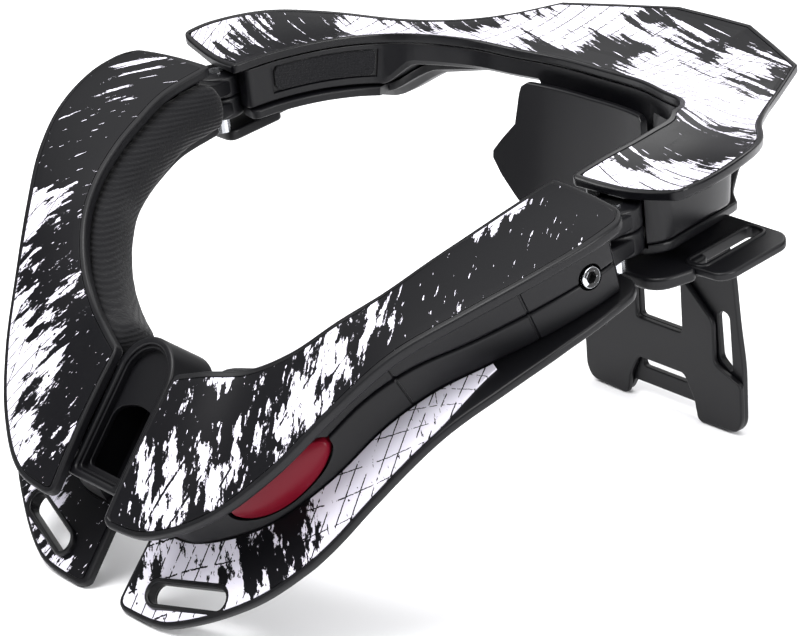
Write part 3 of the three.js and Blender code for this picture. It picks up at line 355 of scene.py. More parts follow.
def bevel(obj, width, segments=3, angle=40):
    """Rounds the edges sharper than the angle in degrees, by a width in millimetres."""
    return apply_modifier(
        obj,
        "BEVEL",
        width=width * MM,
        segments=segments,
        limit_method="ANGLE",
        angle_limit=math.radians(angle),
        use_clamp_overlap=False,
        harden_normals=False,
    )


def rounded(corners, steps=3):
    """A closed profile with each corner (w, n, radius) rounded, always with as many points."""
    made = []
    count = len(corners)
    for i, (w, n, radius) in enumerate(corners):
        here = np.array([w, n], float)
        before = np.array(corners[i - 1][:2], float) - here
        after = np.array(corners[(i + 1) % count][:2], float) - here
        if radius <= 0:
            made.append(here)
            continue
        reach = min(radius, np.linalg.norm(before) * 0.48, np.linalg.norm(after) * 0.48)
        start = here + before / max(np.linalg.norm(before), 1e-9) * reach
        end = here + after / max(np.linalg.norm(after), 1e-9) * reach
        for step in range(steps + 1):
            t = step / steps
            made.append(start * (1 - t) ** 2 + here * 2 * t * (1 - t) + end * t * t)
    return made


def ring(section, profile):
    """A profile of (w, n) points set in its slice."""
    return [section.at(w, n) for w, n in profile]


def corner_inset(distance, radius):
    """How far a rounded corner of this radius draws in, at this distance from the end."""
    if distance >= radius:
        return 0.0
    rest = radius - max(distance, 0.0)
    return radius - math.sqrt(max(radius * radius - rest * rest, 0.0))


def stations(length, radius0, radius1, spacing, edge=1.0):
    """Distances along a piece: even ones, and finer ones in its round ends."""
    made = {0.0, length}
    for share in (0.01, 0.04, 0.1, 0.2, 0.33, 0.5, 0.7, 0.85, 1.0):
        made.add(radius0 * share)
        made.add(length - radius1 * share)
    for share in (0.05, 0.2, 0.45, 0.75, 1.0):
        made.add(edge * share)
        made.add(length - edge * share)
    count = max(int(length / spacing), 2)
    for i in range(1, count):
        d = length * i / count
        if radius0 < d < length - radius1:
            made.add(d)
    values = sorted(made)
    kept = [values[0]]
    for value in values[1:]:
        if value - kept[-1] > 0.03:
            kept.append(value)
    return kept


def arm_u(distance):
    """The share u at a distance in millimetres along the arm."""
    return distance / ARM_LENGTH


def crowned(w, w0, w1, crown):
    """Height of an arch that rises by the crown between w0 and w1."""
    t = (w - w0) / max(w1 - w0, 1e-6)
    return crown * 4 * t * (1 - t)


def plate_ring(section, w0, w1, n0, n1, crown, edge, shrink, rim=None, span=None):
    """A slice of a moulded plate between w0 and w1 and between n0 and n1, arched by the crown over
    its span. Its edge is rounded, and all of it shrinks towards the plate's ends. Where rim is set,
    as (width of the rim, depth of the recess), the rim stands round a recess for the inlay."""
    w0, w1 = w0 + shrink, w1 - shrink
    low, high = n0 + shrink * 0.8, n1 - shrink * 0.8
    r = max(edge - shrink, 0.15)
    s0, s1 = span or (w0, w1)
    arch = lambda w: crowned(w, s0, s1, crown)
    middle = (w0 + w1) / 2
    bottom = [(w0, low + arch(w0), r), (middle, low + arch(middle), 0), (w1, low + arch(w1), r)]
    top = [(w1, high + arch(w1), r)]
    width, depth = rim if rim else (3.0, 0.0)
    a, b = w1 - width, w0 + width
    if a <= b + 1:
        a, b = w1 - (w1 - w0) * 0.3, w0 + (w1 - w0) * 0.3
    top += [(a + 0.3, high + arch(a + 0.3), 0), (a - 0.15, high + arch(a - 0.15) - depth, 0)]
    for share in (0.8, 0.6, 0.4, 0.2):
        w = b + (a - b) * share
        top.append((w, high + arch(w) - depth, 0))
    top += [(b + 0.15, high + arch(b + 0.15) - depth, 0), (b - 0.3, high + arch(b - 0.3), 0)]
    top += [(w0, high + arch(w0), r)]
    return ring(section, rounded(bottom + top, 4))


RECESS = 0.7
CROWN = 1.3
# The inlays' underside and top, between the recess and the rim's top
INLAY = (0.1, 0.62)
INLAY_EDGE = 0.15
# Radii of the arm tables' corners, at the rear and at the closure
ARM_CORNERS = {"inner": (3.0, 3.0), "outer": (9.0, 5.0)}


def arm_insets(back, front):
    """How far the arm tables' rounded corners draw in on the inner and on the outer side."""
    return [
        max(corner_inset(back, ARM_CORNERS[edge][0]), corner_inset(front, ARM_CORNERS[edge][1]))
        for edge in ("inner", "outer")
    ]


def arm_table(name, side):
    """An arm's upper table: an arched plate with a fine rim round its inlay."""
    edge, rim = size("table_edge"), size("rim_width")
    rings = []
    for d in stations(ARM_LENGTH, 9.0, 9.0, 2.5, edge):
        section = arm_section(side, arm_u(d))
        away = min(d, ARM_LENGTH - d)
        inner, outer = arm_insets(d, ARM_LENGTH - d)
        depth = RECESS * smooth(away, rim - 0.4, rim + 0.1)
        rings.append(
            plate_ring(
                section, inner, section.width - outer, -PLATE, size("rim_height"), CROWN,
                edge, corner_inset(away, edge), (rim, depth), (0, section.width),
            )
        )
    return finish_mesh(loft(name, rings))


def arm_print(name, side):
    """The printed inlay in an upper table's recess."""
    rings = []
    m = size("rim_width") + 0.15
    for d in stations(ARM_LENGTH - 2 * m, 6.0, 6.0, 2.5, 0.2):
        section = arm_section(side, arm_u(d + m))
        back, front = d, ARM_LENGTH - 2 * m - d
        inner = m + max(corner_inset(back, 1.5), corner_inset(front, 1.5))
        outer = m + max(corner_inset(back, 6.0), corner_inset(front, 2.5))
        rings.append(
            plate_ring(
                section, inner, section.width - outer, *INLAY, CROWN, INLAY_EDGE, 0, span=(0, section.width)
            )
        )
    return finish_mesh(loft(name, rings), 50)


def wall_slope(u):
    """How far the shells' outer wall leans in over its height, towards the closure."""
    return 12.0 * smooth(u, 0.3, 0.6)


def wall_at(section, u, n):
    """Where the shells' outer wall stands in a slice, at the height n."""
    share = (n - LOWER_BOTTOM) / (UPPER_TOP - LOWER_BOTTOM)
    return section.width - BODY_INSET - wall_slope(u) * share


SHELL_EDGE = 1.3
SEAM_STATIONS = (0.245, 0.485)
# The shells' outer wall draws in at its rear end, between these distances along the arm in mm
SHELL_END = {"draw": 7.5, "from": 2.5, "to": 9.5}
# The hinge stands behind the arms' rear inner corners, and leans with the tables
HINGE_OUT = ARM_ROWS[0][0][0] * HALF_WIDTH + 15.5
HINGE_FORWARD = ARM_ROWS[0][0][1] * REACH - 15.7
HINGE_LEAN = math.radians(8)
KNUCKLE_RADIUS = 9.5
KNUCKLE_BOTTOM = ARM_ROWS[0][0][2] * COLLAR_HEIGHT - 24.4
KNUCKLE_HEIGHT = 17.6
KNUCKLE_HALF = (KNUCKLE_HEIGHT - GAP) / 2
HINGE_AXIS = np.array([0, -math.sin(HINGE_LEAN), math.cos(HINGE_LEAN)])


def hinge_point(side, up):
    """A point on the hinge axis, at a height over the knuckle's bottom."""
    return place(side, HINGE_OUT, HINGE_FORWARD, KNUCKLE_BOTTOM) + HINGE_AXIS * up


def post(name, side, radius, low, high, edge=0.6):
    """A round post on the hinge axis, with its two rims bevelled."""
    deselect()
    middle = hinge_point(side, (low + high) / 2) * MM
    bpy.ops.mesh.primitive_cylinder_add(
        vertices=56, radius=radius * MM, depth=(high - low) * MM, location=middle,
        rotation=(HINGE_LEAN, 0, 0),
    )
    obj = bpy.context.object
    obj.name = name
    bpy.ops.object.transform_apply(location=True, rotation=True, scale=True)
    if edge:
        bevel(obj, edge, 3, 60)
    return obj


def shell_profile(section, u, n0, n1, sunk):
    """A half shell's slice, with its outer wall sunk in at a seam or at the rear end."""
    wall = lambda n: wall_at(section, u, n) - sunk
    middle = (n0 + n1) / 2
    corners = [(BODY_INSET, n0), (wall(n0), n0), (wall(middle), middle), (wall(n1), n1), (BODY_INSET, n1)]
    return rounded([(w, n, 0 if n == middle else SHELL_EDGE) for w, n in corners], 4)


def arm_shell(name, side, n0, n1, low, high):
    """An upper or lower half shell between the heights n0 and n1, with its tail and its part of
    the hinge's knuckle, between low and high on the hinge axis."""
    start, end = ARM_START * ARM_LENGTH, ARM_END * ARM_LENGTH
    marks = []
    for seam in SEAM_STATIONS:
        d = seam * ARM_LENGTH
        deep = size("seam_depth")
        marks += [(d - 0.55, 0.0), (d - 0.25, deep), (d + 0.25, deep), (d + 0.55, 0.0)]
    spots = [(d + start, 0.0) for d in stations(end - start, 10.0, 0.5, 3.0, 1.0)]
    spots = [s for s in spots if all(abs(s[0] - m[0]) > 0.8 for m in marks)] + marks
    rings = []
    for d, groove in sorted(spots):
        section = arm_section(side, arm_u(d))
        groove += SHELL_END["draw"] * (1 - smooth(d, SHELL_END["from"], SHELL_END["to"]))
        profile = shell_profile(section, arm_u(d), n0, n1, groove)
        rings.append(ring(section, profile))
    body = loft(name, rings)
    tail = shell_tail(name + "_tail", side, low, high, n0 + 1, n1 - 1)
    knuckle = post(name + "_post", side, KNUCKLE_RADIUS, low, high, 1.0)
    cut(body, bolt_pocket(name + "_bolt_pocket", side))
    if side > 0:
        cut(body, button_form(name + "_button_pocket", True))
    return finish_mesh(join(body, tail, knuckle))


def slab(x0, x1, y0, y1, radius):
    """The four corners of a rounded rectangle."""
    return [(x0, y0, radius), (x1, y0, radius), (x1, y1, radius), (x0, y1, radius)]


def shell_tail(name, side, low, high, n0, n1):
    """The arm that runs from inside a half shell, in a curve, to its knuckle on the hinge axis."""
    entry = arm_section(side, 0.024)
    hinge = hinge_point(side, 0)
    back = entry.origin[1] - hinge[1] + 9.0
    behind = hinge + np.array([0, back, back * math.tan(HINGE_LEAN)])
    draw = 1.4
    near = entry.origin[0] * side - HINGE_OUT + BODY_INSET - 3
    far = entry.width - BODY_INSET - 11

    def flat(origin, w0, w1):
        profile = rounded(slab(w0, w1, low + draw, high - draw, 1), 3)
        return [origin + np.array([side * w, 0, 0]) + HINGE_AXIS * n for w, n in profile]

    last = rounded(slab(BODY_INSET, far, n0, n1, 1), 3)
    a = np.array(flat(hinge, -KNUCKLE_RADIUS + 0.2, KNUCKLE_RADIUS - 0.2))
    b = np.array(flat(behind, near, near + far - 3))
    c = np.array(ring(entry, last))
    rings = []
    for i in range(13):
        t = i / 12
        rings.append(a * (1 - t) ** 2 + b * 2 * t * (1 - t) + c * t * t if t < 1 else c)
    return loft(name, rings)


def stadium(length, width, steps=10):
    """The outline of a slot with round ends, along x."""
    radius, straight = width / 2, length / 2 - width / 2
    made = []
    for side in (1, -1):
        for i in range(steps + 1):
            angle = math.pi * (i / steps - 0.5)
            made.append((side * (straight + radius * math.cos(angle)), side * radius * math.sin(angle)))
    return made


def prism(name, outline, thickness, origin, x_axis, y_axis):
    """A straight sided body on a flat outline, its middle at the origin."""
    z_axis = np.cross(x_axis, y_axis)
    z_axis = z_axis / np.linalg.norm(z_axis)
    rings = []
    for h in (-thickness / 2, thickness / 2):
        rings.append([origin + x_axis * x + y_axis * y + z_axis * h for x, y in outline])
    return loft(name, rings)


def slot_outline(length, width, radius=2.2):
    """The outline of a slot with four rounded corners, along x."""
    x, y = length / 2, width / 2
    return [tuple(point) for point in rounded(slab(-x, x, -y, y, radius), 8)]


def rim_ring(name, path, bead, height, origin, x_axis, y_axis):
    """The raised rim round a strap slot: a rounded bead run round the slot's outline."""
    z_axis = np.cross(x_axis, y_axis)
    z_axis = z_axis / np.linalg.norm(z_axis)
    rings = []
    count = len(path)
    for i in range(count):
        x, y = path[i]
        before, after = np.array(path[i - 1]), np.array(path[(i + 1) % count])
        way = after - before
        out = np.array([way[1], -way[0]]) / max(np.linalg.norm(way), 1e-9)
        profile = rounded(slab(0, bead, -height / 2, height / 2, 0.9), 4)
        rings.append([
            origin + x_axis * (x + out[0] * e) + y_axis * (y + out[1] * e) + z_axis * h
            for e, h in profile
        ])
    rings.append(rings[0])
    return loft(name, rings)


# A strap slot's share of the arm's length, its turn, and how far in from the lower table's edge it
# lies; then the width of the rim round it and how far the rim stands past the table's two faces
SLOT_U = 0.865
SLOT_TURN = math.radians(7)
SLOT_IN = 11.0
RIM_BEAD = 1.9
RIM_STANDS = 1.8
FOOT_EDGE = 1.4
# A cutting tool's length, long enough to pass through any plate
THROUGH = 30.0


def slot_place(side):
    """A strap slot's middle, the way it runs and the way across it."""
    section = foot_section(side, SLOT_U)
    middle = section.at(section.foot - SLOT_IN, (FOOT_TOP + FOOT_BOTTOM) / 2)
    runs = section.along * math.cos(SLOT_TURN) + section.across * math.sin(SLOT_TURN)
    return middle, runs, section.across * math.cos(SLOT_TURN) - section.along * math.sin(SLOT_TURN)


def arm_foot(name, side):
    """An arm's lower table, with its strap slot and the bead round it."""
    rings = []
    for d in stations(ARM_LENGTH, 9.0, 9.0, 2.5, FOOT_EDGE):
        section = foot_section(side, arm_u(d))
        inner, outer = arm_insets(d, ARM_LENGTH - d)
        shrink = corner_inset(min(d, ARM_LENGTH - d), FOOT_EDGE)
        rings.append(
            plate_ring(
                section, inner + 3, section.foot - outer, FOOT_BOTTOM, FOOT_TOP + 0.2, 0, FOOT_EDGE, shrink
            )
        )
    plate = loft(name, rings)
    centre, runs, across = slot_place(side)
    long, wide = size("slot_length"), size("slot_width")
    cut(plate, prism(name + "_hole", stadium(long + 1, wide + 1), THROUGH, centre, runs, across))
    path = stadium(long, wide, 14)
    bead = rim_ring(name + "_rim", path, RIM_BEAD, PLATE + RIM_STANDS, centre, runs, across)
    return finish_mesh(join(plate, bead))


def foot_print(name, side):
    """The printed inlay on a lower table, from where it comes out under the shell."""
    start = 0.335
    m = 2.2
    low, high = FOOT_TOP + 0.2, FOOT_TOP + 0.75
    rings = []
    run = ARM_LENGTH * (1 - start) - m
    for d in stations(run, 0.5, 6.0, 2.5, 0.2):
        u = start + d / ARM_LENGTH
        section = foot_section(side, u)
        inset = m + corner_inset(run - d, 2.5)
        near = section.width - BODY_INSET + 0.6
        far = near + 1 + (section.foot - inset - near - 1) * smooth(u, start - 0.05, start + 0.12)
        profile = rounded([(near, low, 0), (far, low, 0), (far, high, 0.2), (near, high, 0)], 2)
        rings.append(ring(section, profile))
    sheet = loft(name, rings)
    centre, runs, across = slot_place(side)
    outline = stadium(size("slot_length") + 2 * RIM_BEAD + 0.2, size("slot_width") + 2 * RIM_BEAD + 0.2)
    return finish_mesh(cut(sheet, prism(name + "_hole", outline, THROUGH, centre, runs, across)), 50)


# The bolts: their share of the arm's length, and their sizes in mm
BOLT = {"u": 0.115, "radius": 3.8, "gap": 0.9, "depth": 4.5, "proud": 0.6, "socket": 2.2}


def turned(name, section, spot, radius, depth, vertices):
    """A cylinder along a section's across, its middle at the spot."""
    deselect()
    turn = Vector((0, 0, 1)).rotation_difference(Vector(section.across)).to_euler()
    bpy.ops.mesh.primitive_cylinder_add(
        vertices=vertices, radius=radius * MM, depth=depth * MM, location=spot * MM, rotation=turn
    )
    obj = bpy.context.object
    obj.name = name
    bpy.ops.object.transform_apply(location=True, rotation=True, scale=True)
    return obj


def bolt_spot(section, w):
    """A point on the bolt's axis, which runs across the arm at the shells' parting line."""
    return section.at(w, PARTING + 0.5)


def arm_bolt(name, side):
    """A bolt with a hex socket, and for each of its faces whether it lies in the socket, where it takes a
    painted shade.
    """
    section = arm_section(side, BOLT["u"])
    face = section.width - BODY_INSET + BOLT["proud"]
    depth = BOLT["depth"]
    bolt = turned(name, section, bolt_spot(section, face - depth / 2), BOLT["radius"], depth, 48)
    socket = turned(name + "_socket", section, bolt_spot(section, face), BOLT["socket"], 6, 6)
    bevel(cut(bolt, socket), 0.3, 3, 50)
    axis = Vector(section.across)
    middle = Vector(bolt_spot(section, face)) * MM
    inside = []
    for polygon in bolt.data.polygons:
        away = polygon.center - middle
        away -= axis * away.dot(axis)
        inside.append(away.length < BOLT["socket"] * 0.98 * MM)
    finish_mesh(bolt)
    return bolt, inside


def bolt_pocket(name, side):
    """The round pocket that a bolt sits in, with a dark gap round its head."""
    section = arm_section(side, BOLT["u"])
    face = section.width - BODY_INSET
    spot = bolt_spot(section, face + 0.5)
    return turned(name, section, spot, BOLT["radius"] + BOLT["gap"], 2 * BOLT["depth"] + 1, 48)


# How far the cloth may swell a pad, in mm, and where the pads start and end on the arm
PAD_SWELL = 0.9
PAD_START = 0.006
PAD_END = 0.93


def arm_pad(name, side):
    """A fabric covered foam pad along an arm's inner side, filled as cloth."""
    run = ARM_LENGTH * (PAD_END - PAD_START)
    rings = []
    middle = (UPPER_TOP + LOWER_BOTTOM) / 2
    half = (UPPER_TOP - LOWER_BOTTOM) / 2 - 0.2
    for d in stations(run, 4.0, 8.0, 2.0, 1.0):
        u = PAD_START + d / ARM_LENGTH
        section = arm_section(side, u)
        shrink = max(corner_inset(d, 4.0), corner_inset(run - d, 8.0))
        tall = half - PAD_SWELL - shrink * 0.6
        proud = -size("pad_depth") + PAD_SWELL + shrink * 0.7
        profile = rounded(
            [
                (BODY_INSET - 0.6, middle - tall, 0.5),
                (BODY_INSET - 0.6, middle + tall, 0.5),
                (proud + 3.4, middle + tall, 3.5),
                (proud, middle + tall * 0.45, 5),
                (proud, middle - tall * 0.45, 5),
                (proud + 3.4, middle - tall, 3.5),
            ],
            5,
        )
        rings.append(ring(section, profile))
    pad = swell(loft(name, rings), PAD_SWELL)
    return finish_mesh(pad, 50)


def swell(obj, cap, voxel=3.0):
    """Fills a pad: its copy is remeshed, blown up as cloth, and held within the cap, in mm."""
    apply_modifier(obj, "REMESH", mode="VOXEL", voxel_size=voxel * MM, use_smooth_shade=True)
    start = np.empty(len(obj.data.vertices) * 3, np.float32)
    obj.data.vertices.foreach_get("co", start)
    only(obj)
    bpy.ops.object.modifier_add(type="CLOTH")
    cloth = obj.modifiers[-1]
    cloth.settings.use_pressure = True
    cloth.settings.uniform_pressure_force = 4
    cloth.settings.effector_weights.gravity = 0
    cloth.settings.tension_stiffness = 40
    cloth.point_cache.frame_end = 20
    for step in range(1, 21):
        bpy.context.scene.frame_set(step)
    only(obj)
    bpy.ops.object.modifier_apply(modifier=cloth.name)
    bpy.context.scene.frame_set(1)
    start = start.reshape(-1, 3)
    held = np.empty(start.size, np.float32)
    obj.data.vertices.foreach_get("co", held)
    way = held.reshape(-1, 3) - start
    moved = np.linalg.norm(way, axis=1, keepdims=True)
    way *= np.minimum(1, cap * MM / np.maximum(moved, 1e-9))
    obj.data.vertices.foreach_set("co", (start + way).ravel())
    obj.data.update()
    return apply_modifier(obj, "SUBSURF", levels=1, render_levels=1)


def rear_spots(end, spacing=0.16, extras=()):
    """Rows for the rear pieces' slices, the same on both sides, with extra ones where forms change."""
    count = int(end / spacing)
    values = {round(end * i / count, 5) for i in range(count + 1)} | set(extras)
    values = sorted(values)
    return [-v for v in reversed(values) if v > 0] + values


# A row of the rear table is about this many millimetres long near its ends
REAR_ROW_LENGTH = 15.0


def rear_plate(name, end, n0, n1, edge, margin, corner, rim=None):
    """The wing shaped table, or the inlay on it: from one front end round the back to the other."""
    rings = []
    fine = [end - v / REAR_ROW_LENGTH for v in (0.02, 0.1, 0.3, 0.6, 1.0, 1.5, 2.0, 2.2, 2.4, 2.6, 4.0)]
    wing = [1.0, 2.0, 3.0, 0.985, 1.015, 1.985, 2.015, 2.985, 3.015]
    for k in rear_spots(end, 0.14, fine + wing):
        section = rear_section(k)
        away = (end - abs(k)) * REAR_ROW_LENGTH
        inset = corner_inset(away, corner)
        depth = RECESS * smooth(away, rim - 0.4, rim + 0.1) if rim else 0
        rings.append(
            plate_ring(
                section, margin + inset * 0.3, section.width - margin - inset, n0, n1, -WING_DISH,
                edge, corner_inset(away, edge), (rim, depth) if rim else None, (0, section.width),
            )
        )
    return finish_mesh(loft(name, rings))


# The body under the rear table, and its thinner run round the back, in rows and millimetres
REAR_BODY_WIDTH = 30.0
REAR_BODY_END = 9.72
LEDGE_STEP = 13.0
SLIM = {"from": 1.45, "to": 4.8, "ramp": 0.15, "end ramp": 1.15, "ledge end": 5.87, "ledge ramp": 0.06}


def slim(k):
    """Share of the thin run in the body's slice: 1 between the back pad and the arms' ends."""
    row = abs(k)
    rising = smooth(row, SLIM["from"] - SLIM["ramp"], SLIM["from"])
    return rising * (1 - smooth(row, SLIM["to"], SLIM["to"] + SLIM["end ramp"]))


def mix(a, b, share):
    """The value between a and b at a share."""
    return a + (b - a) * share


def underside(k, section):
    """The body's width, the place of its underside's step and its two levels in a slice."""
    share = slim(k)
    width = min(REAR_BODY_WIDTH, section.width - 11)
    return {
        "width": width,
        "step": min(mix(LEDGE_STEP, LEDGE_STEP + 7, share), width - 8),
        "inner": REAR_TOP - mix(12.5, 5.0, share),
        "outer": REAR_TOP - mix(18.0, 9.0, share),
    }


def step_spots():
    """Rows where the body's underside or the ledge changes quickly."""
    made = []
    ends = (SLIM["to"], SLIM["to"] + SLIM["end ramp"])
    ledge = (SLIM["ledge end"], SLIM["ledge end"] + SLIM["ledge ramp"])
    for a, b in ((SLIM["from"] - SLIM["ramp"], SLIM["from"]), ends, ledge):
        made += [mix(a, b, t) for t in (0, 0.2, 0.35, 0.5, 0.65, 0.8, 1)]
    return made


# The loop patches' recess: its rows, its heights and its depth in mm
PATCH = {"start": 6.12, "end": 9.0, "high": -5.7, "low": REAR_TOP - 10.4, "sunk": 1.3}
INNER_WALL = 0.4


def patch_depth(k):
    """Depth of the recess for the loop patch at row k, with short ramps at its ends."""
    row = abs(k)
    rising = smooth(row, PATCH["start"] - 0.05, PATCH["start"])
    return PATCH["sunk"] * rising * (1 - smooth(row, PATCH["end"], PATCH["end"] + 0.05))


def patch_spots():
    """Rows close to the ends of the loop patch's recess."""
    shifts = (-0.06, -0.04, -0.015, 0, 0.015, 0.04, 0.06)
    return [PATCH[key] + shift for key in ("start", "end") for shift in shifts]


def end_spots(end, reach):
    """Rows within the reach of the front ends, for their rounded corners."""
    return [end - v for v in (0.003, 0.01, 0.03, 0.06, 0.1, 0.16, 0.25, 0.35) if v <= reach]


def hinge_rooms(clearance, low):
    """Round tools that make room for the knuckles on both sides, from a height on the axis."""
    return [
        post(f"{label}_room", side, KNUCKLE_RADIUS + clearance, low, KNUCKLE_HEIGHT + 12, 0)
        for label, side in SIDES
    ]


# Radii of the rear body's corners at its front ends, and the ledge's thickness
BODY_CORNERS = {"inner": 2.5, "outer": 9.0}
LEDGE_THICK = 3.6


def rear_body(name):
    """The body under the rear table, with its recesses for the patches and room for the hinges."""
    rings = []
    extras = step_spots() + patch_spots() + end_spots(REAR_BODY_END, 0.35)
    for k in rear_spots(REAR_BODY_END, 0.14, extras):
        section = rear_section(k)
        under = underside(k, section)
        away = (REAR_BODY_END - abs(k)) * REAR_ROW_LENGTH
        width = under["width"] - corner_inset(away, BODY_CORNERS["outer"])
        wall = INNER_WALL + corner_inset(away, BODY_CORNERS["inner"])
        sunk = wall + patch_depth(k)
        slope = 2.5 * slim(k)
        high = PATCH["high"]
        low = max(PATCH["low"], under["inner"] + 1.2)
        profile = rounded(
            [
                (wall + 8, REAR_TOP, 0),
                (wall + 3, -PLATE - 1.0, 0),
                (wall, -PLATE - GAP, 0.3),
                (wall, high + 0.3, 0),
                (sunk, high, 0),
                (sunk, low, 0),
                (wall, low - 0.3, 0),
                (wall + slope, under["inner"] - 1.2, 0.8),
                (under["step"], under["inner"] - 1.5, 1.0),
                (under["step"] + 6, under["outer"], 1.5),
                (width, under["outer"], 1.5),
                (width, REAR_TOP, 0.5),
            ],
            4,
        )
        rings.append(ring(section, profile))
    return finish_mesh(cut(loft(name, rings), *hinge_rooms(0.9, -12)))


# The strap lug: its outer side, its middle, its slot and its reach to the front and back
LUG = {
    "out": HALF_WIDTH + 6,
    "forward": HINGE_FORWARD - 33,
    "slot out": HALF_WIDTH - 9,
    "up": KNUCKLE_BOTTOM - 2.3,
    "front": 33.0,
    "back": 19.0,
}
LUG_LEAN = math.radians(11)


def lug_plate(name, side):
    """The strap lug: a rolled tip under the hinge and a plate beside it with its slot's raised rim."""
    x_axis = np.array([1.0, 0, 0])
    back = np.array([0, math.cos(LUG_LEAN), math.sin(LUG_LEAN)])
    near, out, front, rear = HINGE_OUT - 5, LUG["out"], LUG["front"], LUG["back"]
    centre = place(1, 0, LUG["forward"], LUG["up"])
    rise = np.array([0, -math.sin(LUG_LEAN), math.cos(LUG_LEAN)])
    # Outlines in mm: out, and back from the lug's middle, with the corners' radii
    tip = [
        (near, -front, 5), (out - 17, -front, 9), (out - 12, -front + 15, 4),
        (out - 16, -front + 17, 2), (out - 16, -8, 2), (near, -6, 3),
    ]
    plate = [
        (near + 2, -front + 14, 3), (out - 13, -front + 15.5, 2), (out - 3, -front + 16, 3),
        (out, -front + 20, 3), (out, rear - 5, 3), (out - 5, rear, 3),
        (near + 3, rear, 6), (near + 2, -6, 3),
    ]
    hole_at = place(side, LUG["slot out"], LUG["forward"], LUG["up"])
    parts = []
    for label, corners, thickness, lift, edge in (
        ("tip", tip, PLATE + 1.6, -0.8, 1.4),
        ("plate", plate, PLATE, 0, 1.0),
    ):
        shape = [(side * x, y) for x, y in rounded(corners, 6)]
        made = prism(f"{name}_{label}", shape, thickness, centre + rise * lift, x_axis, back)
        if label == "plate":
            cut(made, prism(name + "_slot", slot_outline(30.5, 7), THROUGH, hole_at, back, x_axis))
        parts.append(bevel(made, edge, 4, 50))
    parts.append(rim_ring(f"{name}_rim", slot_outline(30, 6.5), 2.0, PLATE + 1.4, hole_at, back, x_axis))
    parts[0].name = name
    return join(*parts)


def ledge_edge(k, under):
    """The ledge's inner edge: past the body under the back pad and the arms' ends, and far in
    under the thin run between them."""
    ending = smooth(abs(k), SLIM["ledge end"], SLIM["ledge end"] + SLIM["ledge ramp"])
    if abs(k) > 3:
        inside = mix(8, -1.5, ending)
    else:
        inside = -5.4 if abs(k) <= SLIM["from"] - SLIM["ramp"] else -1.5
    return mix(inside, under["step"] - 3, slim(k))


def rear_foot(name):
    """The ledge under the rear body with both strap lugs."""
    rings = []
    end = REAR_BODY_END - 0.04
    for k in rear_spots(end, 0.14, step_spots() + end_spots(end, 0.25)):
        section = rear_section(k)
        under = underside(k, section)
        width = min(mix(34.0, 30.0, smooth(abs(k), 6, 7)), section.width - 8)
        away = (end - abs(k)) * REAR_ROW_LENGTH
        near = ledge_edge(k, under) + corner_inset(away, 3.0)
        width -= corner_inset(away, BODY_CORNERS["outer"])
        top = under["inner"] - 1.5 - 2 * GAP
        outer = under["outer"] - GAP
        under_top, under_outer = top - LEDGE_THICK, outer - LEDGE_THICK
        profile = rounded(
            [
                (near, top, 0.9), (near, under_top, 0.9), (under["step"] - 1, under_top, 0.9),
                (under["step"] + 5, under_outer, 0.9), (width, under_outer, 0.9), (width, outer, 0.9),
                (under["step"] + 5, outer, 0.9), (under["step"] - 1, top, 0.9),
            ],
            3,
        )
        rings.append(ring(section, profile))
    ledge = cut(loft(name, rings), *hinge_rooms(1.2, -2 * GAP))
    return finish_mesh(join(ledge, *[lug_plate(f"{label}_lug", side) for label, side in SIDES]))


def loop_patch(name, side):
    """A strip of loop tape in the body's recess, just proud of its bed."""
    rings = []
    for i in range(41):
        t = i / 40
        k = side * mix(PATCH["start"] + 0.04, PATCH["end"] - 0.04, t)
        section = rear_section(k)
        high, low = PATCH["high"] - 0.25, PATCH["low"] + 0.25
        away = min(t, 1 - t) * 42
        trim = corner_inset(away, 2.0)
        face, back = INNER_WALL + 0.25, INNER_WALL + PATCH["sunk"] - 0.1
        low, high = low + trim, high - trim
        profile = rounded([(face, low, 0.5), (back, low, 0), (back, high, 0), (face, high, 0.5)], 3)
        rings.append(ring(section, profile))
    return finish_mesh(loft(name, rings), 50)


# The strut's half width, height and lean, where its front face stands, and its two thicknesses
STRUT = {
    "half": 44.5,
    "top": REAR_ROWS[0][0][2] * COLLAR_HEIGHT - 23.6,
    "lean": math.radians(6),
    "face": -0.5,
    "layer": 2.6,
    "plate": 3.0,
}
# Half outlines: out as a share of the half width, up as a share of the top, corner radius in mm
STRUT_OUTLINE = [
    (0.50, 0.0, 3), (0.88, 0.0, 3), (0.97, 0.04, 4), (0.98, 0.24, 6), (0.93, 0.38, 6),
    (0.89, 0.56, 5), (0.80, 0.66, 5), (0.80, 1.019, 1),
]
LAYER_OUTLINE = [
    (0.45, 0.0, 3), (0.93, 0.01, 3), (1.0, 0.05, 3), (1.0, 0.185, 2), (0.68, 0.23, 3),
    (0.68, 0.38, 3), (0.34, 0.49, 2), (0.29, 0.49, 1),
]
STRUT_WINDOW = [
    (0.69, 0.40, 1.5), (0.74, 0.42, 1.5), (0.83, 0.41, 2), (0.85, 0.21, 2), (0.71, 0.25, 2),
]
# Where the legs and the feet stand, as shares of the half width, and the two bars, of the top
STRUT_LEG = 0.29
STRUT_FOOT = 0.41
BAR = (0.155, 0.30)
LOW_BAR = (0.055, 0.115)
OPEN_TOP = 0.64


def strut_points(rows, side=1):
    """One side of a half outline in millimetres."""
    return [(side * out * STRUT["half"], up * STRUT["top"], r) for out, up, r in rows]


